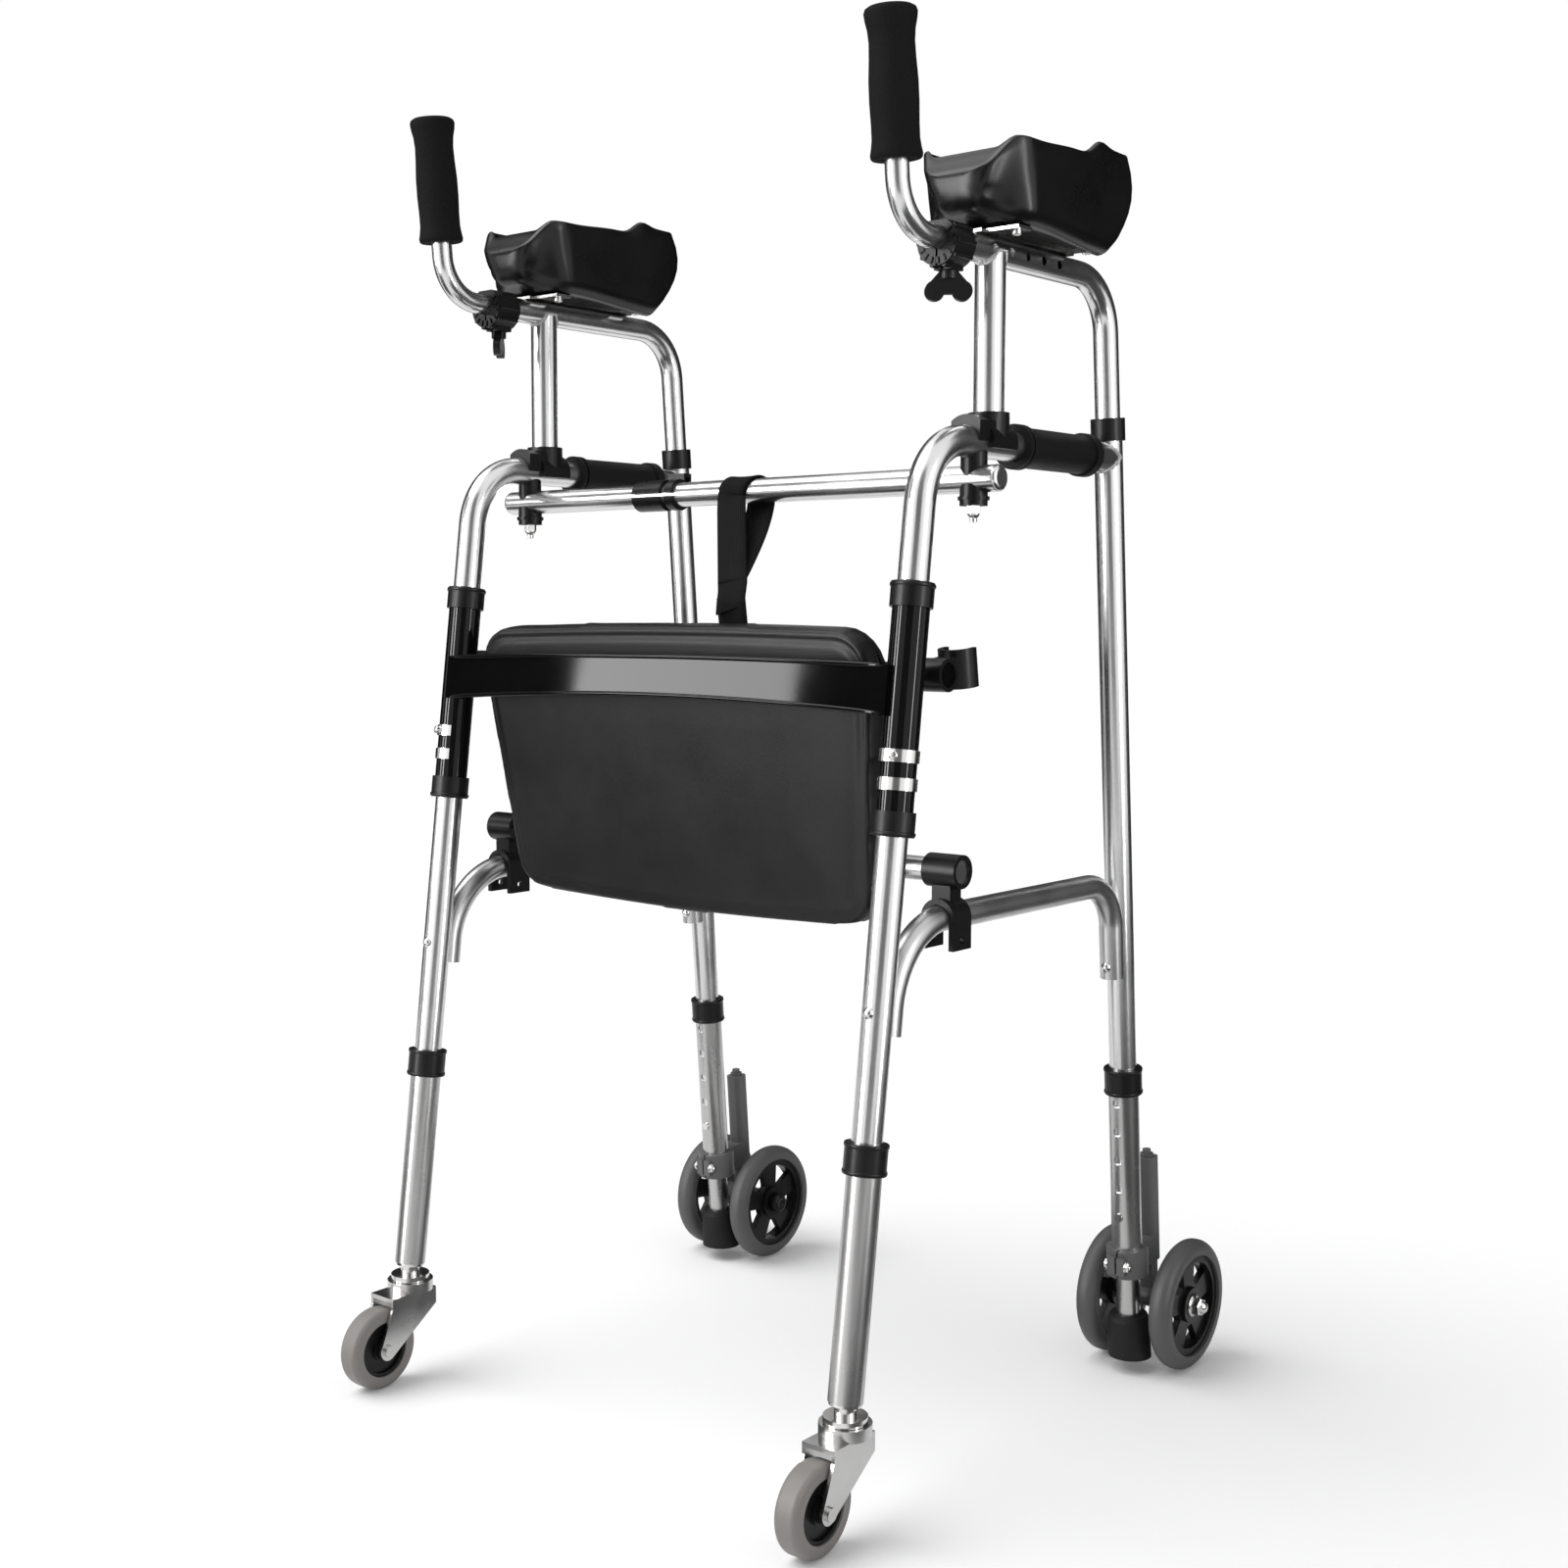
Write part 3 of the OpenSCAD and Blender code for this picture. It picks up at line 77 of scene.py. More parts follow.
camera = add("camera", bpy.data.cameras.new("camera"))
camera.location = EYE
ahead = Vector((-math.sin(YAW) * math.cos(PITCH), math.cos(YAW) * math.cos(PITCH), math.sin(PITCH)))
camera.rotation_euler = ahead.to_track_quat("-Z", "Y").to_euler()
camera.data.sensor_width = SENSOR
camera.data.lens = SENSOR * FOCUS_PX / FRAME_PX
camera.data.shift_x = (FRAME_PX / 2 - CENTRE_PX[0]) / FRAME_PX
camera.data.shift_y = (CENTRE_PX[1] - FRAME_PX / 2) / FRAME_PX
scene.camera = camera
print("lens", round(camera.data.lens, 1), "mm")

# %% [markdown]
# ## Studio
# Bright tubes only show what is around them, and in an all-white room they would go flat. So the room is
# white, as in a product photograph. Dark cards stand behind the camera, beside the walker and behind it,
# and lie on the floor; only reflections see them. They draw the dark lines on the tubes.
# Two strip lamps make the long highlights on the black sleeves, and a box lamp before a dark card shows
# in the brace bar. These three only serve reflections. A sun with a wide disc and the room give the
# plain light; the floor adds a little white of its own for the camera, so that it meets the background.


# %% Placing nodes
def fill(node, values):
    for key, value in values.items():
        node.inputs[key].default_value = value


def put(tree, kind, links=None, **values):
    """Adds a node, sets its sockets and properties, and links other nodes' outputs into it."""
    node = tree.nodes.new(kind)
    for key, value in values.items():
        if hasattr(node, key) and key not in node.inputs:
            setattr(node, key, value)
        else:
            node.inputs[key].default_value = value
    for key, source in (links or {}).items():
        tree.links.new(source, node.inputs[key])
    return node


# %% World and floor
ROOM_LIGHT, FLOOR_SHADE, FLOOR_LIFT = (0.45, 0.45, 0.455, 1), 0.95, 0.09
FLOOR_HALF, FLOOR_DROP = 14, -0.0005
WHITE = (1, 1, 1, 1)

scene.view_settings.view_transform = "Standard"
world = bpy.data.worlds.new("studio")
scene.world = world
world.use_nodes = True
wt = world.node_tree
rays = put(wt, "ShaderNodeLightPath").outputs
shown = put(wt, "ShaderNodeMath", {0: rays["Is Camera Ray"], 1: rays["Is Glossy Ray"]}, operation="MAXIMUM")
through = {0: shown.outputs["Value"], 1: rays["Is Transmission Ray"]}
clear = put(wt, "ShaderNodeMath", through, operation="MAXIMUM")
seen = put(wt, "ShaderNodeMix", {"Factor": clear.outputs["Value"]}, data_type="RGBA")
fill(seen, {"A": ROOM_LIGHT, "B": WHITE})
wt.links.new(seen.outputs["Result"], wt.nodes["Background"].inputs["Color"])


def stage_sheet(name, corners, shade):
    """A flat dull sheet that belongs to the studio and not to the walker."""
    mesh = bpy.data.meshes.new(name)
    mesh.from_pydata(corners, [], [(0, 1, 2, 3)])
    obj = add(name, mesh)
    mat = bpy.data.materials.new(name)
    mat.use_nodes = True
    dull = {"Base Color": (shade, shade, shade, 1), "Roughness": 0.95, "Specular IOR Level": 0.0}
    fill(mat.node_tree.nodes["Principled BSDF"], dull)
    mesh.materials.append(mat)
    return obj


def level_corners(x0, x1, y0, y1, z):
    return [(x0, y0, z), (x1, y0, z), (x1, y1, z), (x0, y1, z)]


floor_corners = level_corners(-FLOOR_HALF, FLOOR_HALF, -FLOOR_HALF, FLOOR_HALF, FLOOR_DROP)
floor = stage_sheet("floor", floor_corners, FLOOR_SHADE)
ft = floor.data.materials[0].node_tree
looks = put(ft, "ShaderNodeLightPath")
lift = put(ft, "ShaderNodeMath", {0: looks.outputs["Is Camera Ray"]}, operation="MULTIPLY")
fill(lift, {1: FLOOR_LIFT})
floor_skin = ft.nodes["Principled BSDF"]
fill(floor_skin, {"Emission Color": WHITE})
ft.links.new(lift.outputs["Value"], floor_skin.inputs["Emission Strength"])
print("room ready")

# %% Dark cards
view_azimuth = math.atan2(camera.location.y, camera.location.x)
CARD_HIGH, CARD_OFF_FLOOR = 4, 0.002


def around(turn, reach):
    """A place on the floor, counted from the camera round the walker; plus is to the camera's right."""
    a = view_azimuth + math.radians(turn)
    return Vector((reach * math.cos(a), reach * math.sin(a), 0))


def dark_sheet(name, corners, shade):
    """A card that only reflections see."""
    card = stage_sheet(name, corners, shade)
    card.visible_camera = card.visible_diffuse = card.visible_shadow = False


def dark_card(name, start, stop, reach, shade):
    """A tall card from one turn to another."""
    p, q = around(start, reach).xy, around(stop, reach).xy
    dark_sheet(name, [(*p, 0), (*q, 0), (*q, CARD_HIGH), (*p, CARD_HIGH)], shade)


def floor_card(name, x0, x1, y0, y1, shade):
    dark_sheet(name, level_corners(x0, x1, y0, y1, CARD_OFF_FLOOR), shade)


dark_card("front_card", -22, 14, 2.8, 0.22)
dark_card("brace_card", -97, -68, 3.5, 0.03)
dark_card("left_back_card", -178, -108, 3.4, 0.03)
dark_card("right_back_card", 90, 178, 3.4, 0.03)
floor_card("right_floor_card", 0.45, 2.6, -0.9, 2.6, 0.06)
floor_card("middle_floor_card", -0.14, 0.16, -0.5, 0.6, 0.08)
floor_card("left_floor_card", -1.9, -0.5, -2.0, -0.4, 0.05)

# %% Lamps
LAMP_AIM, STRIP_UP = Vector((0, 0, 0.7)), Vector((0, 0, 1.0))


def lamp(name, at, size, power):
    """An area lamp for reflections alone."""
    data = bpy.data.lights.new(name, "AREA")
    data.shape = "RECTANGLE"
    data.size, data.size_y = size
    data.energy = power
    obj = add(name, data)
    obj.location = at
    obj.rotation_euler = (LAMP_AIM - at).to_track_quat("-Z", "Y").to_euler()
    obj.visible_diffuse = False


lamp("left_strip", around(-60, 2.6) + STRIP_UP, (0.35, 2.0), 44)
lamp("right_strip", around(52, 2.6) + STRIP_UP, (0.22, 2.0), 22)
lamp("brace_box", Vector((-1.84, -2.26, 1.1)), (0.5, 0.9), 17)

sun = add("sun", bpy.data.lights.new("sun", "SUN"))
sun.data.energy = 2.1
sun.data.angle = math.radians(50)
sun.rotation_euler = Vector((0.45, 0.5, -1)).to_track_quat("-Z", "Y").to_euler()

# %% [markdown]
# ## Shared surface effects
# Two effects turn up again and again: the fine grain of a moulding or a drawn tube, and the uneven
# gloss that handling leaves. Each is a node group, placed in the materials with its own numbers.


# %% Node groups
def new_group(name, ins, outs):
    tree = bpy.data.node_groups.new(name, "ShaderNodeTree")
    for label, value in ins.items():
        sock = tree.interface.new_socket(name=label, in_out="INPUT", socket_type="NodeSocketFloat")
        sock.default_value = value
    for label in outs:
        tree.interface.new_socket(name=label, in_out="OUTPUT", socket_type="NodeSocketFloat")
    return tree, tree.nodes.new("NodeGroupInput").outputs, tree.nodes.new("NodeGroupOutput").inputs


# grain: small bumps that don't repeat, stretched along one axis where the tube was drawn
wanted = {"Scale": 400, "Stretch X": 1, "Stretch Y": 1, "Stretch Z": 1}
GRAIN, gi, go = new_group("surface_grain", wanted, ["Height"])
place = put(GRAIN, "ShaderNodeTexCoord").outputs["Object"]
ratio = put(GRAIN, "ShaderNodeCombineXYZ", {axis: gi["Stretch " + axis] for axis in "XYZ"})
spread = put(GRAIN, "ShaderNodeVectorMath", {0: place, 1: ratio.outputs["Vector"]}, operation="MULTIPLY")
wanted = {"Vector": spread.outputs["Vector"], "Scale": gi["Scale"]}
fine = put(GRAIN, "ShaderNodeTexNoise", wanted, Detail=4.0, Roughness=0.6)
GRAIN.links.new(fine.outputs["Fac"], go["Height"])

# handling: broad patches that make a surface a little glossier or duller
GLOSS, gi, go = new_group("handled_gloss", {"Scale": 18, "Low": 0.3, "High": 0.4}, ["Roughness", "Mask"])
place = put(GLOSS, "ShaderNodeTexCoord").outputs["Object"]
patches = put(GLOSS, "ShaderNodeTexNoise", {"Vector": place, "Scale": gi["Scale"]}, Detail=6.0, Roughness=0.55)
wanted = {"Value": patches.outputs["Fac"], "To Min": gi["Low"], "To Max": gi["High"]}
span = put(GLOSS, "ShaderNodeMapRange", wanted)
fill(span, {"From Min": 0.3, "From Max": 0.7})
GLOSS.links.new(span.outputs["Result"], go["Roughness"])
GLOSS.links.new(patches.outputs["Fac"], go["Mask"])
print("groups:", [t.name for t in bpy.data.node_groups])

# %% [markdown]
# ## Finishes
# One function lays the common ground: a Principled shader whose colour drifts a little, whose gloss
# comes from the handling group and whose bump comes from the grain group. Each finish then only needs
# its numbers; the special ones, such as webbing and vinyl, get their own pattern on top.


# %% Common finish
def grey(v, warm=0.0):
    return (v * (1 + warm), v, v * (1 - warm), 1)


def finish_material(name, tones, rough, grain, bump, shine=0.5, warm=(0, 0), metal=0, stretch=(1, 1, 1), patch=18):
    """tones: two greys that blend over the surface; rough: lowest and highest roughness."""
    mat = bpy.data.materials.new(name)
    mat.use_nodes = True
    t = mat.node_tree
    skin = t.nodes["Principled BSDF"]
    fill(skin, {"Metallic": metal, "Specular IOR Level": shine})
    gloss = put(t, "ShaderNodeGroup", node_tree=GLOSS, Scale=patch, Low=rough[0], High=rough[1])
    tone = put(t, "ShaderNodeMix", {"Factor": gloss.outputs["Mask"]}, data_type="RGBA")
    fill(tone, {"A": grey(tones[0], warm[0]), "B": grey(tones[1], warm[1])})
    pulls = {"Stretch " + axis: pull for axis, pull in zip("XYZ", stretch)}
    grains = put(t, "ShaderNodeGroup", node_tree=GRAIN, Scale=grain, **pulls)
    relief = put(t, "ShaderNodeBump", {"Height": grains.outputs["Height"]}, Strength=bump, Distance=0.0004)
    t.links.new(tone.outputs["Result"], skin.inputs["Base Color"])
    t.links.new(gloss.outputs["Roughness"], skin.inputs["Roughness"])
    t.links.new(relief.outputs["Normal"], skin.inputs["Normal"])
    return mat


ALONG_X, ALONG_Y, ALONG_Z = (0.02, 1, 1), (1, 0.05, 1), (1, 1, 0.02)
TUBE = dict(grain=900, bump=0.015, metal=1)
METALS = {
    "tube_upright": dict(TUBE, tones=(0.78, 0.72), rough=(0.2, 0.28), stretch=ALONG_Z),
    "tube_level": dict(TUBE, tones=(0.76, 0.70), rough=(0.2, 0.28), stretch=ALONG_X),
    # the leg extensions are the same metal; their darker, warmer tones are painted shade for the darker surroundings
    # they reflect near the floor
    "tube_lower": dict(TUBE, tones=(0.56, 0.48), warm=(0.01, 0.01), rough=(0.24, 0.32), stretch=ALONG_Z, patch=10),
    "tube_arch": dict(TUBE, tones=(0.6, 0.52), rough=(0.26, 0.36), stretch=ALONG_Y),
    "bright_steel": dict(
        tones=(0.8, 0.7), warm=(0.01, 0.02), rough=(0.12, 0.24), grain=700, bump=0.05, metal=1, patch=60
    ),
    "zinc": dict(tones=(0.64, 0.56), warm=(0.01, 0.01), rough=(0.2, 0.28), grain=500, bump=0.03, metal=1, patch=45),
}
# two tones, lowest and highest roughness, grain, bump, shine
DULL = {
    "black_paint": ((0.003, 0.005), (0.035, 0.06), 500, 0.01, 0.25),
    "black_plastic": ((0.006, 0.010), (0.27, 0.37), 1500, 0.12, 0.28),
    "grey_plastic": ((0.11, 0.15), (0.4, 0.52), 1500, 0.16, 0.35),
    "hub_plastic": ((0.007, 0.012), (0.26, 0.36), 1200, 0.1, 0.25),
    "trough_skin": ((0.003, 0.005), (0.25, 0.32), 1100, 0.08, 0.38),
    "grip_rubber": ((0.006, 0.010), (0.46, 0.58), 1300, 0.25, 0.18),
    "foam": ((0.006, 0.010), (0.7, 0.85), 900, 0.6, 0.1),
    "foot_rubber": ((0.010, 0.016), (0.55, 0.7), 900, 0.25, 0.2),
    "seat_vinyl": ((0.006, 0.009), (0.36, 0.44), 1000, 0.2, 0.3),
    "webbing": ((0.006, 0.010), (0.7, 0.85), 1400, 0.3, 0.1),
    "tyre": ((0.085, 0.115), (0.42, 0.55), 700, 0.15, 0.4),
    "caster_tread": ((0.22, 0.27), (0.42, 0.56), 700, 0.15, 0.3, (0.05, 0.05)),
}
FINISH = {name: finish_material(name, **look) for name, look in METALS.items()}
FINISH.update({name: finish_material(name, *look) for name, look in DULL.items()})
print("finishes:", len(FINISH))

# %% [markdown]
# ## Weave and pores
# Webbing shows ribs along its length, crossed by the threads of the weft; both follow the strip's own UV
# map, which counts in metres. Closed-cell foam has fine round pores, and the seat's vinyl a pebbled
# grain; both are Voronoi cells in Object coordinates. Each is one more bump on top of the common one.


# %% Extra relief
def more_relief(name, height_of, strength, distance):
    """Adds a second bump over the first one of a finish."""
    t = FINISH[name].node_tree
    normal = t.nodes["Principled BSDF"].inputs["Normal"]
    under = normal.links[0].from_socket
    over = put(t, "ShaderNodeBump", {"Height": height_of(t), "Normal": under}, Strength=strength, Distance=distance)
    t.links.new(over.outputs["Normal"], normal)


RIB_PITCH, WEFT_PITCH = 0.0021, 0.0012


def weave_height(t):
    place = put(t, "ShaderNodeUVMap", uv_map="along")
    split = put(t, "ShaderNodeSeparateXYZ", {"Vector": place.outputs["UV"]})
    waves = []
    for axis, pitch in (("X", RIB_PITCH), ("Y", WEFT_PITCH)):
        turn = put(t, "ShaderNodeMath", {0: split.outputs[axis]}, operation="MULTIPLY")
        fill(turn, {1: 2 * math.pi / pitch})
        waves.append(put(t, "ShaderNodeMath", {0: turn.outputs["Value"]}, operation="SINE").outputs["Value"])
    both = put(t, "ShaderNodeMath", {0: waves[0], 1: waves[1]}, operation="MULTIPLY")
    return put(t, "ShaderNodeMath", {0: waves[0], 1: both.outputs["Value"]}, operation="ADD").outputs["Value"]


def cell_height(scale):
    def height(t):
        place = put(t, "ShaderNodeTexCoord")
        cells = put(t, "ShaderNodeTexVoronoi", {"Vector": place.outputs["Object"]}, feature="F1", Scale=scale)
        return cells.outputs["Distance"]
    return height


more_relief("webbing", weave_height, 0.7, 0.0003)
more_relief("foam", cell_height(900), 0.5, 0.0004)
more_relief("seat_vinyl", cell_height(650), 0.12, 0.0002)
more_relief("grip_rubber", cell_height(1100), 0.3, 0.0003)
print("relief added")

# %% [markdown]
# ## Finishes on the CAD nodes
# Each node takes the finish of its slot in the record. The drawn tubes are told apart by the way they
# run, because the drawing marks follow the tube. The leg extensions near the floor get darker, warmer
# tones: painted shade for the darker surroundings they reflect. The casters have paler tyres than the
# rear wheels. The two sides of the walker are alike, so here and later one loop makes both.

# %% Assign
TRACK = 0.260  # half the distance between the two side frames
SIDES = (("left", -TRACK), ("right", TRACK))
slot_of = {s["node"]: s["material_slot"] for s in frame["record"]["subparts"]}
OWN_FINISH = {"crossbar": "tube_level", "seat_hinge_tube": "tube_level"}
OWN_FINISH.update(arch_braces="tube_arch", crossbar_saddles="hub_plastic")
for side, _ in SIDES:
    OWN_FINISH[side + "_caster_tyre"] = "caster_tread"
    # the extensions take the darker tube tones, which are painted shade
    OWN_FINISH[side + "_front_extension"] = OWN_FINISH[side + "_rear_extension"] = "tube_lower"
for name, obj in nodes.items():
    kind = OWN_FINISH.get(name, slot_of[name])
    obj.data.materials.clear()
    obj.data.materials.append(FINISH["tube_upright" if kind == "tube" else kind])
print("dressed", len(nodes), "nodes")

# %% [markdown]
# ## The seat cushion
# The seat is a padded board: foam under black vinyl, with a soft roll round its edge. A pillow shape
# comes best from inflating it. The outline of the board is lofted into a slightly thin pillow, remeshed
# into even squares, and blown up as cloth with its back held to the board. The roll and the crease inside
# it are drawn in afterwards by their distance from the rim, because the remesh would have swallowed them.

# %% Seat frame and outline
HINGE = Vector((0, -0.1055, 0.5165))
LEAN = math.radians(8.2)
UP = Vector((0, -math.sin(LEAN), math.cos(LEAN)))
OUT = Vector((0, -math.cos(LEAN), -math.sin(LEAN)))
SEAT_TOP, SEAT_LOW = (0.234, 0.208, 0.040), (0.217, -0.054, 0.034)  # half width, height, corner radius
CUSHION_BACK, CUSHION_T = 0.0153, 0.0252
EDGE_BOWS = (0.003, 0, -0.006, 0)  # top, left, bottom, right


def seat_outline(per_corner=14, per_edge=22):
    """Points of the board's rim in its own plane, counter-clockwise from the front."""
    (tw, tv, tr), (lw, lv, lr) = SEAT_TOP, SEAT_LOW
    right_top, left_top = ((tw - tr, tv - tr), tr, 0), ((-tw + tr, tv - tr), tr, 90)
    left_low, right_low = ((-lw + lr, lv + lr), lr, 180), ((lw - lr, lv + lr), lr, 270)
    arcs = []
    for (cx, cv), r, a0 in (right_top, left_top, left_low, right_low):
        a = np.radians(a0 + np.linspace(0, 90, per_corner))
        arcs.append(np.stack([cx + r * np.cos(a), cv + r * np.sin(a)], 1))
    line = []
    for k, bow in enumerate(EDGE_BOWS):
        p, q = arcs[k][-1], arcs[(k + 1) % 4][0]
        u = np.linspace(0, 1, per_edge + 2)[1:-1, None]
        edge = p + (q - p) * u
        edge[:, 1:] += bow * 4 * u * (1 - u)
        line += [arcs[k], edge]
    return np.concatenate(line)


rim = seat_outline()
middle = np.array([0, (SEAT_TOP[1] + SEAT_LOW[1]) / 2])
spoke = rim - middle
rim_angle = np.arctan2(spoke[:, 1], spoke[:, 0])
order = np.argsort(rim_angle)
rim_angle, rim_reach = rim_angle[order], np.linalg.norm(spoke, axis=1)[order]


def share_of_rim(x, v):
    """How far out a point lies: 0 in the middle, 1 on the rim."""
    a = np.arctan2(v - middle[1], x - middle[0])
    return np.hypot(x - middle[0], v - middle[1]) / np.interp(a, rim_angle, rim_reach, period=2 * math.pi)


print("rim points:", len(rim))


# %% Skin rows of points, here and for later pieces
def skin_rows(bm, rows, closed=False):
    """Faces between rows of points; a row of one point is a tip."""
    for a, b in zip(rows, rows[1:] + (rows[:1] if closed else [])):
        count = max(len(a), len(b))
        for i in range(count):
            j = (i + 1) % count
            if len(b) == 1:
                bm.faces.new((a[i], a[j], b[0]))
            elif len(a) == 1:
                bm.faces.new((a[0], b[j], b[i]))
            else:
                bm.faces.new((a[i], a[j], b[j], b[i]))


def mesh_from(bm, name, smooth=True):
    """Closes a drawn mesh, its faces looking out; smooth=None leaves each face as it was shaded."""
    bmesh.ops.recalc_face_normals(bm, faces=bm.faces)
    mesh = bpy.data.meshes.new(name)
    bm.to_mesh(mesh)
    bm.free()
    if smooth is not None:
        mesh.polygons.foreach_set("use_smooth", [smooth] * len(mesh.polygons))
    return mesh


def link(name, mesh, finish):
    obj = add(name, mesh)
    mesh.materials.append(FINISH[finish])
    return obj


# %% Loft the pillow
# share of the rim and depth in the thickness of each ring, from the back over the edge to the face
PILLOW = [(0.966, 0), (0.982, 0.08), (0.992, 0.28), (0.988, 0.5), (0.97, 0.68)]
PILLOW += [(0.93, 0.8), (0.8, 0.84), (0.6, 0.87), (0.3, 0.89)]
bm = bmesh.new()
rings = []
for share, depth in PILLOW:
    n = CUSHION_BACK + CUSHION_T * depth
    pts = middle + share * (rim - middle)
    rings.append([bm.verts.new(HINGE + Vector((p[0], 0, 0)) + UP * p[1] + OUT * n) for p in pts])
skin_rows(bm, rings)
bm.faces.new(rings[-1])
bm.faces.new(reversed(rings[0]))
seat_cover = link("seat_cover", mesh_from(bm, "seat_cover", smooth=False), "seat_vinyl")
print("pillow faces:", len(seat_cover.data.polygons))


# %% Inflate it
def apply_modifiers(obj):
    shape = bpy.data.meshes.new_from_object(obj.evaluated_get(bpy.context.evaluated_depsgraph_get()))
    obj.modifiers.clear()
    old = obj.data
    obj.data = shape
    shape.name = obj.name
    bpy.data.meshes.remove(old)


def coords(mesh):
    flat = np.empty(len(mesh.vertices) * 3)
    mesh.vertices.foreach_get("co", flat)
    return flat.reshape(-1, 3)


def swell(obj, start, pressure, cap, held):
    """Cloth under pressure; held marks the points that stay, cap limits how far the others go."""
    group = obj.vertex_groups.new(name="held")
    group.add([int(i) for i in np.flatnonzero(held)], 1.0, "REPLACE")
    cloth = obj.modifiers.new("swell", "CLOTH").settings
    cloth.use_pressure = True
    cloth.uniform_pressure_force = pressure
    cloth.vertex_group_mass = "held"
    cloth.effector_weights.gravity = 0
    cloth.tension_stiffness = cloth.compression_stiffness = 30
    cloth.bending_stiffness = 4
    cloth.quality = 6
    for frame_number in range(1, 21):
        scene.frame_set(frame_number)
    apply_modifiers(obj)
    scene.frame_set(1)
    move = coords(obj.data) - start
    far = np.linalg.norm(move, axis=1, keepdims=True)
    end = start + move * np.minimum(1, cap / np.maximum(far, 1e-9))
    obj.data.vertices.foreach_set("co", end.ravel())
    obj.vertex_groups.clear()


def in_seat(points):
    """The seat's own axes: across, along the board, out of its face."""
    q = points - np.array(HINGE)
    return q[:, 0], q @ np.array(UP), q @ np.array(OUT)


remesh = seat_cover.modifiers.new("even", "REMESH")
remesh.mode, remesh.voxel_size = "VOXEL", 0.005
apply_modifiers(seat_cover)
start = coords(seat_cover.data)
swell(seat_cover, start, 4, 0.003, in_seat(start)[2] < CUSHION_BACK + 0.003)
soft = seat_cover.modifiers.new("soft", "SMOOTH")
soft.factor, soft.iterations = 0.5, 14
finer = seat_cover.modifiers.new("finer", "SUBSURF")
finer.levels = finer.render_levels = 1
apply_modifiers(seat_cover)
print("inflated:", len(seat_cover.data.polygons), "faces")


# %% Measures for the roll
def to_rim(x, v):
    """Distance of each point inside the rim line; 0 on it and outside."""
    best = np.full(len(x), 1.0)
    for (px, pv), (qx, qv) in zip(rim, np.roll(rim, -1, axis=0)):
        dx, dv = qx - px, qv - pv
        u = np.clip(((x - px) * dx + (v - pv) * dv) / (dx * dx + dv * dv + 1e-12), 0, 1)
        best = np.minimum(best, np.hypot(x - px - u * dx, v - pv - u * dv))
    return np.where(share_of_rim(x, v) > 1, 0, best)


at = coords(seat_cover.data)
x, v, n = in_seat(at)
ends = np.empty(len(seat_cover.data.edges) * 2, dtype=np.int32)
seat_cover.data.edges.foreach_get("vertices", ends)
one_end, other_end = ends.reshape(-1, 2).T
degree = np.bincount(ends, minlength=len(n))
inside = to_rim(x, v)
looks_out = np.empty(len(n) * 3)
seat_cover.data.vertex_normals.foreach_get("vector", looks_out)
looks_out = looks_out.reshape(-1, 3) @ np.array(OUT)


def evened(values, rounds, where):
    """Averages each value with its neighbours, for the points in where."""
    out = values.copy()
    for _ in range(rounds):
        total = np.bincount(one_end, out[other_end], len(out)) + np.bincount(other_end, out[one_end], len(out))
        out[where] = 0.4 * out[where] + 0.6 * (total / degree)[where]
    return out


print("points measured:", len(n))

# %% Draw the roll and the crease, keeping the swell of the cloth
ROLL_FOOT, ROLL_RISE, ROLL_W = 0.36, 0.59, 0.0135
DOME_RISE, DOME_W = 0.08, 0.09
CREASE_DEPTH, CREASE_AT, CREASE_W = 0.0019, 0.0135, 0.0032
TIGHT_ACROSS, TIGHT_BELOW = 0.99, 0.004

roll = ROLL_FOOT + ROLL_RISE * np.sqrt(1 - (1 - np.clip(inside / ROLL_W, 0, 1)) ** 2)
dome = DOME_RISE * np.clip(inside / DOME_W, 0, 1) ** 0.7
crease = CREASE_DEPTH * np.exp(-(((inside - CREASE_AT) / CREASE_W) ** 2)) * np.clip((v - 0.02) / 0.16, 0.3, 1)
drawn = CUSHION_BACK + CUSHION_T * (roll + dome) - crease
swelling = evened(n, 120, looks_out > 0.3) - CUSHION_BACK - CUSHION_T * 0.97
goal = drawn + 0.25 * swelling * np.clip((inside - 0.02) / 0.03, 0, 1)
weight = np.clip((looks_out - 0.12) / 0.3, 0, 1)
n_new = evened(n + weight * (goal - n), 3, (looks_out > -0.2) & (inside < 0.009))
n_new = np.clip(n_new, CUSHION_BACK + 0.0002, CUSHION_BACK + CUSHION_T + 0.002)
at = at + (n_new - n)[:, None] * np.array(OUT)
# the cover is pulled tight round the board, most at its lower edge
at[:, 0] *= TIGHT_ACROSS
at += (TIGHT_BELOW * np.clip((0.10 - v) / 0.15, 0, 1))[:, None] * np.array(UP)
seat_cover.data.vertices.foreach_set("co", at.ravel())
for face in seat_cover.data.polygons:
    face.use_smooth = True
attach(seat_cover, "seat")
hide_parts("seat_cushion")
print("seat cover", [round(float(s), 3) for s in np.ptp(at, axis=0)])

# %% [markdown]
# ## The forearm troughs
# Each arm rests in a moulded trough of skinned foam: narrow and closed at the wrist, wide at the elbow,
# with a wavy upper rim and a rounded rear end. Its shape follows a rule along its length, so it is lofted
# from sections. They lie close together at the wrist, where the shape turns most.

# %% Trough sections
TROUGH = dict(front=-0.106, length=0.169, low=1.0339, thick=0.007, corner=0.015, elbow=0.050, wrist=0.030)
RIM = 0.0042  # round of the upper edge
RIM_STEPS = (0.0004, 0.0012, 0.0024, 0.0038, 0.005, 0.0062, 0.0075, 0.009, 0.0105, 0.0125, 0.017, 0.024, 0.034)
NOSE, NOSE_POWER = 0.075, 3.2  # share of the length that rounds the wrist end, and how square it is
REAR_BULGE, FRONT_LEAN = 0.030, 0.010


def ease(a, b, t):
    u = min(1, max(0, (t - a) / (b - a)))
    return u * u * (3 - 2 * u)


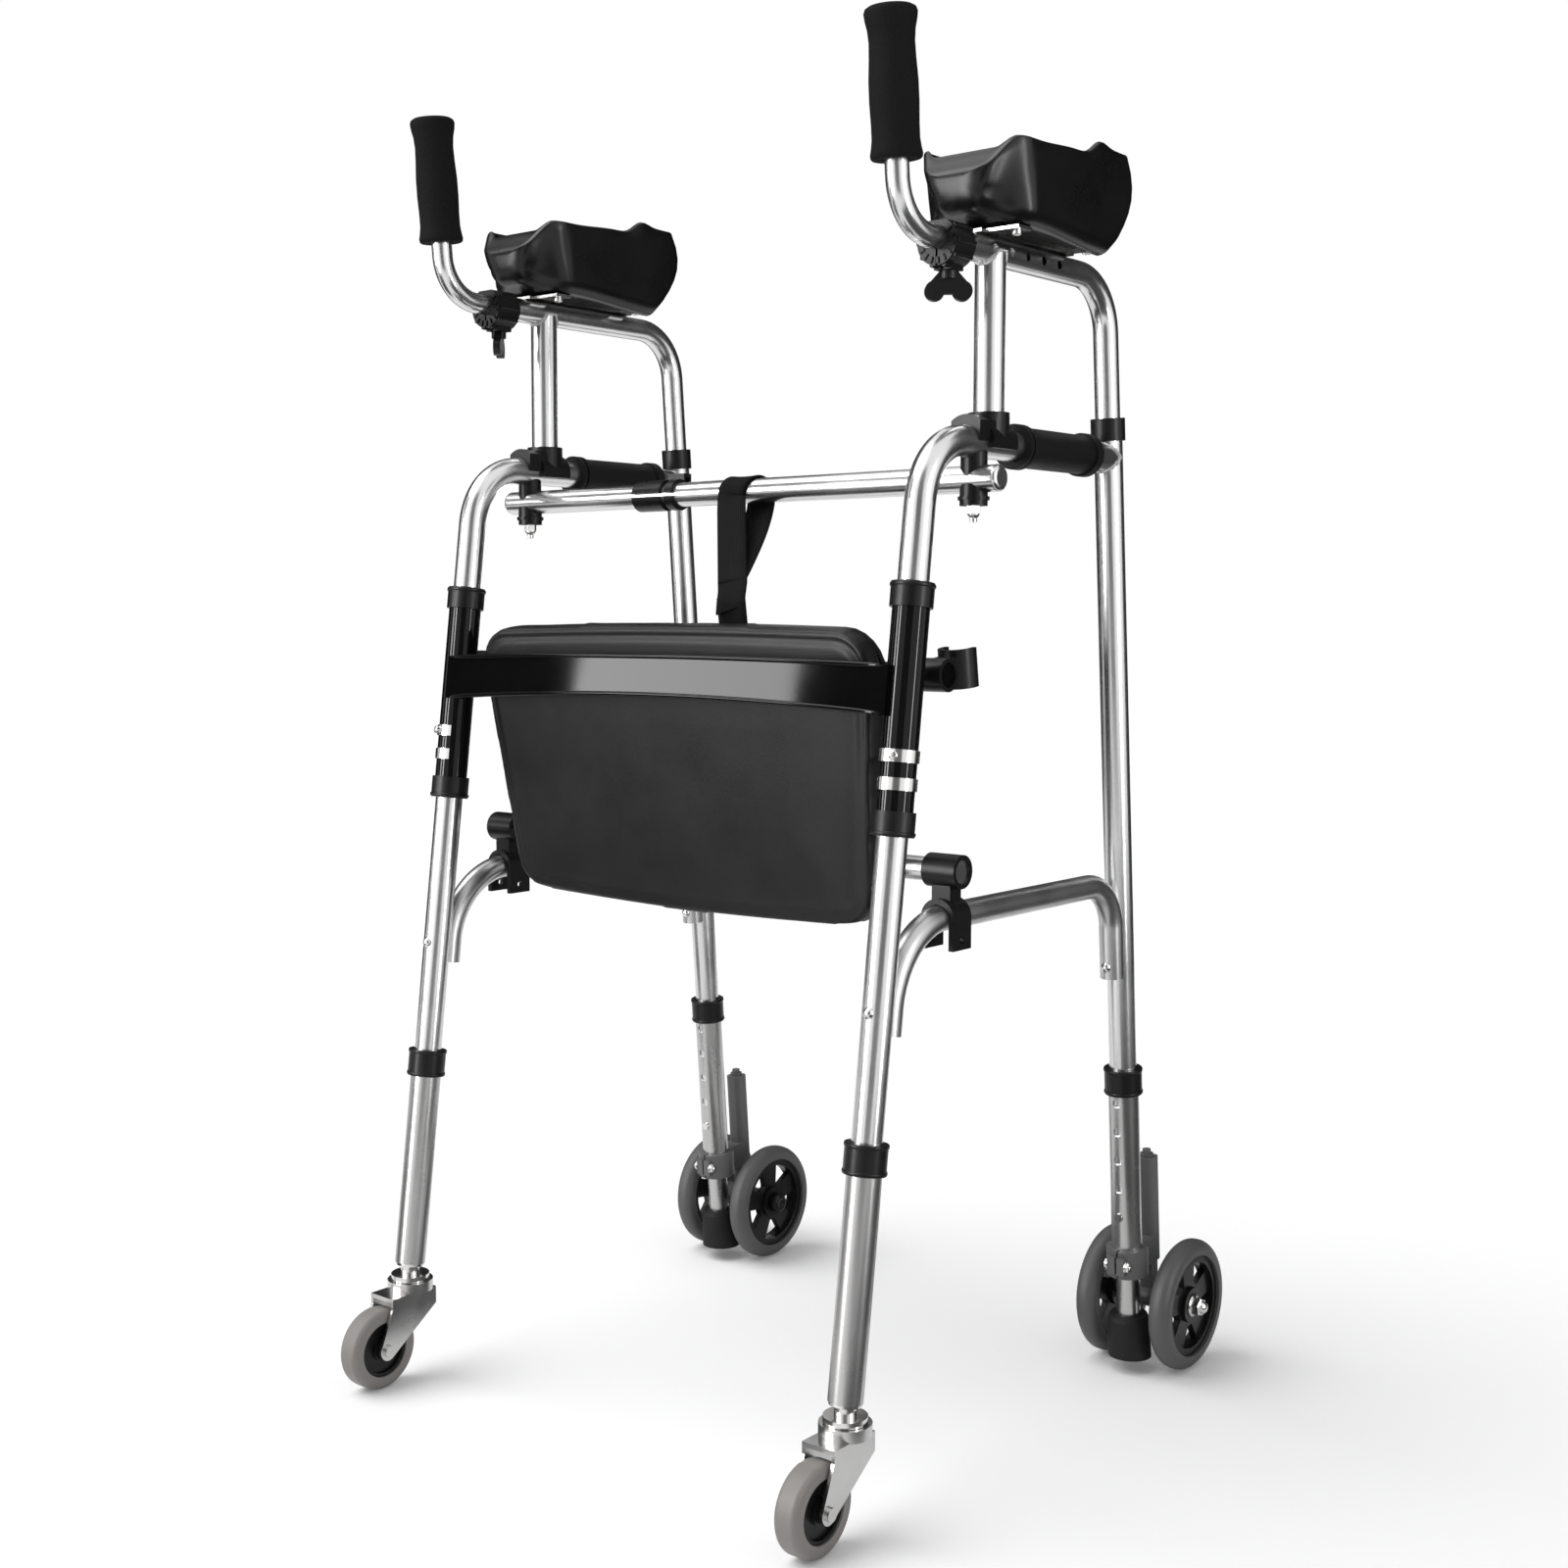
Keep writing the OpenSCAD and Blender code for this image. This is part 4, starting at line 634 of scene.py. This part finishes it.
def nose(t):
    """0 at the very front, rising steeply to 1: a nearly flat wrist end with a round edge."""
    u = 1 - min(1, t / NOSE)
    return max(0.0, 1 - u ** NOSE_POWER) ** (1 / NOSE_POWER)


def trough_top(t):
    """Height of the rim: low at the wrist, a peak where the trough widens, a notch and a bump near the elbow."""
    rise = 0.041 + 0.0235 * ease(0.0, 0.16, t) + 0.003 * ease(0.3, 0.65, t)
    return TROUGH["low"] + rise + 0.0085 * math.exp(-(((t - 0.80) / 0.06) ** 2)) + 0.009 * ease(0.7, 0.92, t)


def outer_wall(w, foot, h, low, skirt):
    """Half of the outside: down the wall, round the corner and in under the floor."""
    r = min(TROUGH["corner"], 0.7 * foot)
    turn = low - skirt + r
    wall = [(foot + (w - foot) * (1 - u) ** 0.7, h + (turn - h) * u) for u in np.linspace(0, 1, 7)[:-1]]
    wall += [(foot - r * (1 - math.cos(a)), turn - r * math.sin(a)) for a in np.linspace(0, math.pi / 2, 7)]
    return wall + [(foot - r - 0.001, low - 0.4 * skirt), (0.96 * (foot - r - 0.002), low), (0.5 * (foot - r), low)]


def trough_section(t):
    """One loop: right wall down, under the floor, left wall up, then back over rim, bed and rim."""
    k = TROUGH
    w = k["wrist"] + (k["elbow"] - k["wrist"]) * ease(-0.02, 0.22, t)
    foot = k["wrist"] - 0.005 + (k["elbow"] - k["wrist"] + 0.005) * ease(0.03, 0.27, t)
    h = trough_top(t)
    low = k["low"] + 0.009 * (1 - ease(0.02, 0.3, t))
    half = outer_wall(w, foot, h, low, 0.0065 * ease(0.35, 1, t))
    over = []
    depth = (h + 0.6 * RIM - (k["low"] + k["thick"] + 0.002)) * ease(0.06, 0.4, t)
    for e in RIM_STEPS:
        e *= w / k["elbow"]
        crown = math.sqrt(max(0.0, 1 - (1 - min(1, e / RIM)) ** 2))
        over.append((w - e, h + 0.6 * RIM * crown - depth * ease(RIM, RIM + 0.0085, e)))
    across = half + [(0, low)] + [(-px, pz) for px, pz in reversed(half)]
    back = [(-px, pz) for px, pz in over] + [(0, over[-1][1])] + over[::-1]
    # the wrist end shrinks to a point inside it, and both ends lean with the height
    blunt = 0.03 + 0.97 * nose(t)
    heart = low + 0.72 * (h - low)
    out = []
    for px, pz in across + back:
        pz = heart + (pz - heart) * blunt
        u = min(1, max(0, (pz - k["low"]) / (h - k["low"])))
        y = k["front"] + t * k["length"] + REAR_BULGE * ease(0.62, 1, t) * math.sin(math.radians(135 * u))
        out.append((px * blunt, y + FRONT_LEAN * (1 - ease(0, 0.2, t)) * (1 - u) ** 2, pz))
    return out


print("points in a section:", len(trough_section(0.5)))


# %% Loft both troughs
def loft(sections, name, finish):
    """A closed skin over a row of loops."""
    bm = bmesh.new()
    rows = [[bm.verts.new(p) for p in s] for s in sections]
    skin_rows(bm, rows)
    bm.faces.new(rows[0])
    bm.faces.new(rows[-1])
    bmesh.ops.triangulate(bm, faces=[f for f in bm.faces if len(f.verts) > 4])
    return link(name, mesh_from(bm, name), finish)


nose_stations = NOSE * (1 - np.cos(np.linspace(0, math.pi / 2, 18)) ** 0.625)
stations = np.concatenate([nose_stations, np.linspace(0.09, 0.98, 46), [0.99, 0.996, 1]])
END_SHARE, TROUGH_HEART = 0.02, TROUGH["low"] + 0.03
for side, sx in SIDES:
    rows = []
    for t in stations:
        # the two ends are rounded over by drawing the last sections in a little
        edge = min(t, 1 - t) / END_SHARE
        shrink = 1 - 0.02 * (1 - min(1, edge)) ** 2
        section = trough_section(float(t))
        rows.append([(sx + px * shrink, py, TROUGH_HEART + (pz - TROUGH_HEART) * shrink) for px, py, pz in section])
    arm_rest = loft(rows, side + "_arm_rest", "trough_skin")
    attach(arm_rest, "frame")
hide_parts("forearm_troughs")

# %% [markdown]
# ## Foam grips
# The upright handles wear closed-cell foam, a little waisted, with a soft collar at each end. A lathe
# profile with rounded ends gives the shape; its pores are in the bump.

# %% Lathe the grips
HANDLE = Vector((0, -0.178, 1.020))
H_LEAN = math.radians(5)
GRIP_AT, GRIP_L, GRIP_R, ROD_R = 0.05 / math.cos(H_LEAN), 0.112, 0.01825, 0.0095
# how much the foam swells over its plain radius, and how high up
SWELLS = [
    (0.0006, 0.0002), (0.0018, 0.0014), (0.0021, 0.004), (0.0012, 0.0085), (0.0003, 0.015), (0.0003, 0.026),
    (0.0009, 0.042), (0.0008, 0.058), (-0.0002, 0.074), (-0.0006, 0.086), (0.0002, 0.095), (0.0018, 0.102),
    (0.0024, 0.107), (0.0014, 0.1098), (-0.0012, 0.1114), (-0.006, GRIP_L),
]
BORE_R, BORE_END = ROD_R + 0.0003, GRIP_L - 0.0053
bore = [(0, BORE_END), (BORE_R, BORE_END), (BORE_R, 0.0005), (0.0150, 0)]
dimple = [(0.0035, GRIP_L), (0.003, GRIP_L - 0.0015), (0.0, GRIP_L - 0.0018)]
grip_profile = bore + [(GRIP_R + more, high) for more, high in SWELLS] + dimple


def ring_of(count):
    """Angles once round, without the last one twice."""
    return np.linspace(0, 2 * math.pi, count, endpoint=False)


def turned(profile, sides=48, smooth=True, closed=False):
    """Turns a profile of (radius, height) about Z; a closed profile makes a ring."""
    bm = bmesh.new()
    rows = []
    for r, h in profile:
        if r < 1e-6:
            rows.append([bm.verts.new((0, 0, h))])
        else:
            rows.append([bm.verts.new((r * math.cos(a), r * math.sin(a), h)) for a in ring_of(sides)])
    skin_rows(bm, rows, closed)
    return mesh_from(bm, "turned", smooth)


for side, sx in SIDES:
    foam = link(side + "_foam", turned(grip_profile), "foam")
    lean = Matrix.Rotation(H_LEAN, 4, "X") @ Matrix.Translation((0, 0, GRIP_AT))
    foam.data.transform(Matrix.Translation(HANDLE + Vector((sx, 0, 0))) @ lean)
    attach(foam, side + "_handle")
    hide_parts(side + "_handle_grip")
print("foam grips made")

# %% [markdown]
# ## The strap
# A strip of webbing goes over the crossbar, its two passes join above the seat and end in a sewn tab.
# Webbing keeps its width, so the strip is built from a path: at each point one edge lies to the left and
# one to the right. The weave follows the strip's own UV map.

# %% Strap path
BAR = Vector((0, -0.0715, 0.835))
BAR_R, STRAP_W, STRAP_T = 0.0111, 0.029, 0.0016
SEAT_RIM = 0.5165 + 0.211 * math.cos(LEAN) - 0.002
JOIN = Vector((0.060, -0.1055 - 0.208 * math.sin(LEAN) - 0.0035, SEAT_RIM + 0.025))
TAIL = JOIN + Vector((0.008, -0.014, -0.0195))
WRAP_FROM, WRAP_TO = 200, -20  # degrees round the bar
ON_BAR, WRAP_SHIFT = 0.010, 0.016  # where it meets the bar, and how far it walks along it


def round_bar(degrees):
    """A point of the strap's middle on the bar."""
    r, a = BAR_R + 0.0004 + STRAP_T / 2, math.radians(degrees)
    shift = ON_BAR + WRAP_SHIFT * (WRAP_FROM - degrees) / (WRAP_FROM - WRAP_TO)
    return BAR + Vector((shift, r * math.cos(a), r * math.sin(a)))


def strap_path():
    """One strip: from the tail up in front of the bar, over it, and down behind it to the join."""
    pts = [TAIL, TAIL.lerp(JOIN, 0.5) + Vector((0, -0.0012, 0)), JOIN + Vector((0, -0.0015, 0))]
    rise_from, rise_to = pts[2], round_bar(WRAP_FROM)
    pts += [rise_from.lerp(rise_to, k / 9) for k in range(1, 9)]
    pts += [round_bar(a) for a in np.linspace(WRAP_FROM, WRAP_TO, 22)]
    last, end = pts[-1], JOIN + Vector((-0.003, 0.0016, 0.006))
    for k in range(1, 14):
        u = k / 13
        slack = Vector((0.0015, 0.007, 0)) * math.sin(math.pi * u) ** 0.8 * (1 - 0.5 * u)
        pts.append(last.lerp(end, u) + slack)
    return pts


path = strap_path()
print("strap points", len(path))


# %% Strap mesh
def strip_mesh(name, path, across_of, width):
    """A flat strip along a path, with a UV map in metres: u across, v along."""
    bm = bmesh.new()
    uv = bm.loops.layers.uv.new("along")
    rows, run, prev = [], 0.0, path[0]
    for k, p in enumerate(path):
        across = across_of(path[min(k + 1, len(path) - 1)] - path[max(k - 1, 0)])
        run += (p - prev).length
        prev = p
        rows.append(([bm.verts.new(p + across * width * s) for s in (-0.5, -0.25, 0, 0.25, 0.5)], run))
    for (a, ra), (b, rb) in zip(rows, rows[1:]):
        for i in range(4):
            face = bm.faces.new((a[i], a[i + 1], b[i + 1], b[i]))
            for loop, (s, r) in zip(face.loops, ((i, ra), (i + 1, ra), (i + 1, rb), (i, rb))):
                loop[uv].uv = (s / 4 * width, r)
    return mesh_from(bm, name), run


def webbing_piece(name, path, across_of, width):
    mesh, run = strip_mesh(name, path, across_of, width)
    obj = link(name, mesh, "webbing")
    thick = obj.modifiers.new("thickness", "SOLIDIFY")
    thick.thickness, thick.offset = STRAP_T, 0
    apply_modifiers(obj)
    return obj, round(run, 3)


def level_across(way):
    """Across the strip, kept as level as the way of the path allows."""
    way = way.normalized()
    return (Vector((1, 0, 0)) - way * way.x).normalized()


strap, strap_length = webbing_piece("strap", path, level_across, STRAP_W)
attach(strap, "frame")
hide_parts("strap_loop")
print("strap faces:", len(strap.data.polygons), "length", strap_length)

# %% [markdown]
# ## The tab on the seat
# The strap holds the stored seat by a short tab of the same webbing, sewn in behind the top roll of the
# cushion. It swings with the seat, so it is a piece of its own and lies behind the strap's end.

# %% Tab
TAB_W, TAB_OUT, TAB_FROM, TAB_TO = 0.031, 0.0141, 0.192, 0.2265
tab_path = [HINGE + Vector((TAIL.x, 0, 0)) + UP * v + OUT * TAB_OUT for v in np.linspace(TAB_FROM, TAB_TO, 8)]
tab, tab_length = webbing_piece("seat_tab", tab_path, lambda way: Vector((1, 0, 0)), TAB_W)
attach(tab, "seat")
print("tab length", tab_length)

# %% [markdown]
# ## Small fittings that repeat
# Screws, nuts, clamp teeth and moulded rims are the same shape again and again, so one Geometry Nodes
# tree puts a shape on a list of points, each with its own turn. Beads of weld follow a line, so a second
# tree walks along a path. Both end in plain meshes, because the export drops instances.


# %% The two trees
def node_tree(name, inputs):
    tree = bpy.data.node_groups.new(name, "GeometryNodeTree")
    tree.interface.new_socket(name="Geometry", in_out="INPUT", socket_type="NodeSocketGeometry")
    tree.interface.new_socket(name="Geometry", in_out="OUTPUT", socket_type="NodeSocketGeometry")
    ids = {}
    for label, kind in inputs.items():
        sock = tree.interface.new_socket(name=label, in_out="INPUT", socket_type="NodeSocket" + kind)
        ids[label] = sock.identifier
    return tree, ids, tree.nodes.new("NodeGroupInput").outputs, tree.nodes.new("NodeGroupOutput").inputs


def place_copies(tree, gi, go, points, turn, size):
    """Every tree ends the same way: copies on points, made real, then their finish."""
    piece = put(tree, "GeometryNodeObjectInfo", {"Object": gi["Piece"]})
    wanted = {"Points": points, "Instance": piece.outputs["Geometry"], "Rotation": turn, "Scale": size}
    copies = put(tree, "GeometryNodeInstanceOnPoints", wanted)
    real = put(tree, "GeometryNodeRealizeInstances", {"Geometry": copies.outputs["Instances"]})
    dress = put(tree, "GeometryNodeSetMaterial", {"Geometry": real.outputs["Geometry"], "Material": gi["Finish"]})
    tree.links.new(dress.outputs["Geometry"], go["Geometry"])


wanted = {"Piece": "Object", "Size": "Float", "Finish": "Material"}
REPEAT, REPEAT_IDS, gi, go = node_tree("repeat_on_points", wanted)
turn = put(REPEAT, "GeometryNodeInputNamedAttribute", data_type="FLOAT_VECTOR", Name="turn")
spin = put(REPEAT, "FunctionNodeEulerToRotation", {"Euler": turn.outputs["Attribute"]})
place_copies(REPEAT, gi, go, gi["Geometry"], spin.outputs["Rotation"], gi["Size"])

wanted = {"Piece": "Object", "Spacing": "Float", "Least": "Float", "Most": "Float", "Finish": "Material"}
ALONG, ALONG_IDS, gi, go = node_tree("repeat_along_path", wanted)
line = put(ALONG, "GeometryNodeMeshToCurve", {"Mesh": gi["Geometry"]})
wanted = {"Curve": line.outputs["Curve"], "Length": gi["Spacing"]}
steps = put(ALONG, "GeometryNodeCurveToPoints", wanted, mode="LENGTH")
chance = put(ALONG, "FunctionNodeRandomValue", data_type="FLOAT", Seed=7)
for label, end in (("Least", "Min"), ("Most", "Max")):
    ALONG.links.new(gi[label], next(i for i in chance.inputs if i.name == end and i.type == "VALUE"))
size_of = next(o for o in chance.outputs if o.type == "VALUE")
place_copies(ALONG, gi, go, steps.outputs["Points"], steps.outputs["Rotation"], size_of)
print("trees:", REPEAT.name, ALONG.name)


# %% Helpers for the trees
def facing(out, side=None):
    """A turn whose Z looks out and whose X leans to side."""
    z = Vector(out).normalized()
    x = Vector(side) if side else z.orthogonal()
    x = (x - z * x.dot(z)).normalized()
    return Matrix((x, z.cross(x), z)).transposed().to_euler()


def run_tree(name, base, shape, tree, ids, values, finish, body):
    obj = link(name, base, finish)
    piece = add(name + "_shape", shape)
    mod = obj.modifiers.new("repeat", "NODES")
    mod.node_group = tree
    for label, value in {"Piece": piece, "Finish": FINISH[finish], **values}.items():
        mod[ids[label]] = value
    apply_modifiers(obj)
    bpy.data.objects.remove(piece)
    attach(obj, body)
    print(name, len(obj.data.polygons), "faces")


def repeat(name, shape, places, finish, body):
    """places: pairs of a point and a turn."""
    base = bpy.data.meshes.new(name)
    base.from_pydata([p for p, _ in places], [], [])
    turns = base.attributes.new("turn", "FLOAT_VECTOR", "POINT")
    turns.data.foreach_set("vector", [c for _, e in places for c in e])
    run_tree(name, base, shape, REPEAT, REPEAT_IDS, {"Size": 1.0}, finish, body)


def along(name, shape, loops, spacing, spread, finish, body):
    """loops: closed lines of points; spread: how much the copies differ in size."""
    points, edges = [], []
    for pts in loops:
        first, last = len(points), len(points) + len(pts) - 1
        points += pts
        edges += [(i, i + 1) for i in range(first, last)] + [(last, first)]
    base = bpy.data.meshes.new(name)
    base.from_pydata(points, edges, [])
    values = {"Spacing": spacing, "Least": 1 - spread, "Most": 1 + spread}
    run_tree(name, base, shape, ALONG, ALONG_IDS, values, finish, body)


# %% [markdown]
# ## Shapes of the fittings
# Each is drawn once, standing on its own Z axis, so that a place and a turn are all it needs.


# %% Shapes to repeat
def cross_screw(r, high):
    """A domed head whose cross is pressed into its rings."""
    bm = bmesh.new()
    rows = [[bm.verts.new((0, 0, high - 0.25 * r))]]
    angles = ring_of(40)
    for k in range(1, 11):
        ring = r * k / 10
        row = []
        for a in angles:
            x, y = ring * math.cos(a), ring * math.sin(a)
            z = high * math.sqrt(max(0.0, 1 - (ring / r) ** 2 * 0.96))
            if ring < 0.62 * r and min(abs(x), abs(y)) < 0.13 * r:
                z -= 0.25 * r
            row.append(bm.verts.new((x, y, z)))
        rows.append(row)
    rows.append([bm.verts.new((r * math.cos(a), r * math.sin(a), 0)) for a in angles])
    skin_rows(bm, rows)
    bm.faces.new(list(reversed(rows[-1])))
    return mesh_from(bm, "cross_screw", smooth=False)


def hex_nut(r, high, stud_r, stud):
    """Washer, chamfered hexagon and the domed end."""
    washer = turned([(0, 0), (1.2 * r, 0), (1.24 * r, 0.0004), (1.2 * r, 0.0011), (0, 0.0011)], 32)
    chamfered = [(0, 0.001), (0.93 * r, 0.001), (r, 0.0018), (r, high - 0.001), (0.88 * r, high), (0, high)]
    body = turned(chamfered, 6, smooth=False)
    foot, root = high - 0.001, high - 0.0002
    dome = [(stud_r * math.cos(a), root + stud * math.sin(a)) for a in np.linspace(0, math.pi / 2, 7)[:-1]]
    end = turned([(0, foot), (stud_r, foot)] + dome + [(0, root + stud)], 24)
    bm = bmesh.new()
    for mesh in (washer, body, end):
        bm.from_mesh(mesh)
    return mesh_from(bm, "hex_nut", smooth=None)


def axle_cap(r, high):
    """A moulded cap with a rounded edge and a dimple."""
    edge = [(0, 0), (r, 0), (r, high - 0.003), (r - 0.0009, high - 0.0009), (r - 0.003, high)]
    return turned(edge + [(0.45 * r, high), (0.35 * r, high - 0.0012), (0, high - 0.0015)], 40)


def tooth(x, y, z, bevel):
    """A block on its own base, with softened edges."""
    bm = bmesh.new()
    bmesh.ops.create_cube(bm, size=1)
    size = Matrix.Translation((0, 0, z / 2)) @ Matrix.Diagonal((x, y, z, 1))
    bmesh.ops.transform(bm, matrix=size, verts=bm.verts)
    bmesh.ops.bevel(bm, geom=bm.edges, offset=bevel, segments=2, affect="EDGES")
    return mesh_from(bm, "tooth", smooth=False)


def rim_ring(r, high, out):
    """A rounded bead round a collar."""
    section = [(r - 0.0004, 0), (r + 0.6 * out, 0), (r + out, 0.25 * high)]
    section += [(r + out, 0.75 * high), (r + 0.6 * out, high), (r - 0.0004, high)]
    return turned(section, 56, closed=True)


def ripple(x, y, z):
    """One drop of a weld bead."""
    bm = bmesh.new()
    bmesh.ops.create_icosphere(bm, subdivisions=2, radius=1)
    bmesh.ops.transform(bm, matrix=Matrix.Diagonal((x, y, z, 1)), verts=bm.verts)
    return mesh_from(bm, "ripple")


print("shapes ready")

# %% [markdown]
# ## Screws
# Four screws hold each trough to its steel plate, heads down, and one screw closes each pair of bright
# bands on the front legs. The legs lean, so a place on them is given by its height.

# %% Screws under the troughs and on the bands
RAKE_F, RAKE_R = math.radians(7.4), math.radians(4.7)
FRONT_Y, REAR_Y = -0.2535, 0.218  # where the legs' axes meet the floor
LEG_F = Matrix.Rotation(-RAKE_F, 4, "X")
LEG_R = Matrix.Translation((0, REAR_Y, 0)) @ Matrix.Rotation(RAKE_R, 4, "X")
PLATE_UNDER, SCREW_X, SCREW_Y = 1.02852, (-0.032, 0.032), (-0.062, 0.048)
BAND_Z, BAND_R, BAND_TURN = 0.614, 0.0190, 20


def on_front(z, local):
    """A point given round the front leg at height z."""
    return Vector((0, FRONT_Y + z * math.tan(RAKE_F), z)) + LEG_F @ Vector(local)


screws, heads = [], []
for side, sx in SIDES:
    head_down = facing((0, 0, -1), (1, 0.4, 0))
    screws += [(Vector((sx + x, y, PLATE_UNDER)), head_down) for x in SCREW_X for y in SCREW_Y]
    a = math.radians(-90 + math.copysign(BAND_TURN, sx))
    c, e = math.cos(a), math.sin(a)
    at = on_front(BAND_Z, (BAND_R * c, BAND_R * e, 0)) + Vector((sx, 0, 0))
    heads.append((at, facing(LEG_F @ Vector((c, e, 0)))))
repeat("trough_screws", cross_screw(0.0043, 0.0016), screws, "bright_steel", "frame")
repeat("band_screws", cross_screw(0.0038, 0.0016), heads, "bright_steel", "frame")

# %% [markdown]
# ## Nuts at the rear wheels
# Each pair of wheels sits on one axle. Outside it ends in a bright nut, inside in a dark cap; both turn
# with the wheels. A small bolt pulls the bracket's ear tight round the leg.

# %% Nuts, caps and clamp screws
WHEEL_R, AXLE_OFF, HUB_FACE = 0.0625, 0.042, 0.0467
AXLE = LEG_R @ Vector((0, AXLE_OFF, (WHEEL_R - AXLE_OFF * math.sin(RAKE_R)) / math.cos(RAKE_R)))
EAR, EAR_HALF = LEG_R @ Vector((0, -0.0193, 0.1105)), 0.009
for side, sx in SIDES:
    out = 1 if sx > 0 else -1
    outer = [(AXLE + Vector((sx + out * HUB_FACE, 0, 0)), facing((out, 0, 0)))]
    repeat(side + "_axle_nut", hex_nut(0.0089, 0.0094, 0.0062, 0.0052), outer, "bright_steel", side + "_rear_wheels")
    inner = [(AXLE + Vector((sx - out * HUB_FACE, 0, 0)), facing((-out, 0, 0)))]
    repeat(side + "_axle_cap", axle_cap(0.0105, 0.0105), inner, "hub_plastic", side + "_rear_wheels")
    bolt = [(EAR + Vector((sx + m * EAR_HALF, 0, 0)), facing((m, 0, 0))) for m in (-1, 1)]
    repeat(side + "_clamp_screw", hex_nut(0.0046, 0.0042, 0.0022, 0.0014), bolt, "bright_steel", side + "_rear_leg")

# %% [markdown]
# ## Teeth and rims
# The handle clamps have a ring of moulded teeth on their front. The collars on the legs and sleeves have
# a bead at their edges, which keeps a thin moulding round.

# %% Teeth of the handle clamps and rims of the collars
CLAMP_FACE, TEETH, TEETH_R = (-0.128, 1.017), 15, 0.0147
COLLAR_R, BEAD_HIGH = 0.0175, 0.0030
SLEEVE_ENDS = ((0.747, -0.0008), (0.554, -0.0022))
FRONT_COLLAR, REAR_COLLAR, BEADS_AT = 0.312, 0.300, (-0.0034, -0.0246)

teeth, rims = [], []
for side, sx in SIDES:
    for k in range(TEETH):
        a = math.radians(360 / TEETH * (k + 0.5))
        if math.sin(a) < 0.6:
            out = Vector((math.cos(a), 0, math.sin(a)))
            teeth.append((Vector((sx, *CLAMP_FACE)) + out * TEETH_R, facing((0, -1, 0), out)))
    rims += [(on_front(z, (0, 0, drop)) + Vector((sx, 0, 0)), LEG_F.to_euler()) for z, drop in SLEEVE_ENDS]
repeat("clamp_teeth", tooth(0.0056, 0.0024, 0.0016, 0.0005), teeth, "black_plastic", "frame")
repeat("sleeve_rims", rim_ring(COLLAR_R, BEAD_HIGH, 0.0009), rims, "black_plastic", "frame")

for side, sx in SIDES:
    shift = Vector((sx, 0, 0))
    edges = [(on_front(FRONT_COLLAR, (0, 0, z)) + shift, LEG_F.to_euler()) for z in BEADS_AT]
    repeat(side + "_front_rims", rim_ring(COLLAR_R, BEAD_HIGH, 0.0007), edges, "black_plastic", side + "_front_leg")
    high = REAR_COLLAR / math.cos(RAKE_R)
    edges = [(LEG_R @ Vector((0, 0, high + z)) + shift, LEG_R.to_euler()) for z in BEADS_AT]
    repeat(side + "_rear_rims", rim_ring(COLLAR_R, BEAD_HIGH, 0.0007), edges, "black_plastic", side + "_rear_leg")

# %% [markdown]
# ## Weld beads
# The frame is welded, and a bead of small ripples runs round each joint: where the front post meets the
# forearm tube above it, and where the top tube meets the rear upright. The line of each bead is where
# the two round surfaces cross; a tree lays the ripples along it.

# %% Beads
TUBE_R, ARM_R, POST_R = 0.0127, 0.0111, 0.0127
POST_Y, ARM_Z, TOP_Z = -0.0505, 1.020, 0.865
bead_lines = []
for side, sx in SIDES:
    post, top = [], []
    for a in ring_of(72):
        c, e = math.cos(a), math.sin(a)
        drop = math.sqrt(max(0.0, ARM_R ** 2 - (POST_R * c) ** 2))
        post.append((sx + POST_R * c, POST_Y + POST_R * e, ARM_Z - drop - 0.0008))
        z = TOP_Z + TUBE_R * e
        near = math.sqrt(max(0.0, TUBE_R ** 2 - (TUBE_R * c) ** 2))
        top.append((sx + TUBE_R * c, REAR_Y - z * math.tan(RAKE_R) - near - 0.0006, z))
    bead_lines += [post, top]
along("weld_beads", ripple(0.0017, 0.0017, 0.0012), bead_lines, 0.0018, 0.12, "zinc", "frame")

# %% [markdown]
# ## Brake springs
# Hidden in each wheel bracket, a coil spring keeps the wheels down. When weight comes on the frame the
# axle rises and the coil shortens until the rubber foot meets the floor. The coil is the one that was
# drawn; here a copy of it becomes a piece of its own that goes with the rear leg.

# %% Springs
for side, _ in SIDES:
    drawn_coil = nodes[side + "_brake_spring"]
    shape = drawn_coil.data.copy()
    shape.transform(drawn_coil.matrix_world)
    shape.materials.clear()
    coil = link(side + "_coil", shape, slot_of[side + "_brake_spring"])
    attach(coil, side + "_rear_leg")
    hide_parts(side + "_brake_spring")
    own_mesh(coil)

# %% [markdown]
# ## Lips of the brace bar
# The flat bar between the sleeves has a rolled edge along its top and bottom, which shows as a fine
# bright line. Each lip is a thin bead swept along the curve of that edge.

# %% Lips
BRACE_Z, BRACE_HALF, BRACE_BOW_HALF, LIP_Y, LIP_R = 0.664, 0.253, 0.256, -0.0193, 0.0021
LIP_LINES = {"upper": (0.0188, 0.004), "lower": (-0.0188, 0.0085)}
for place, (edge, bow) in LIP_LINES.items():
    rows = []
    for x in np.linspace(-BRACE_HALF, BRACE_HALF, 61):
        z = edge + bow * (1 - (x / BRACE_BOW_HALF) ** 2)
        r = LIP_R * math.sqrt(max(0.02, 1 - (abs(x) / BRACE_HALF) ** 24))
        rows.append([on_front(BRACE_Z, (x, LIP_Y + r * math.cos(a), z + r * math.sin(a))) for a in ring_of(10)])
    lip = loft(rows, place + "_brace_lip", "black_paint")
    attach(lip, "frame")
print("lips:", list(LIP_LINES))
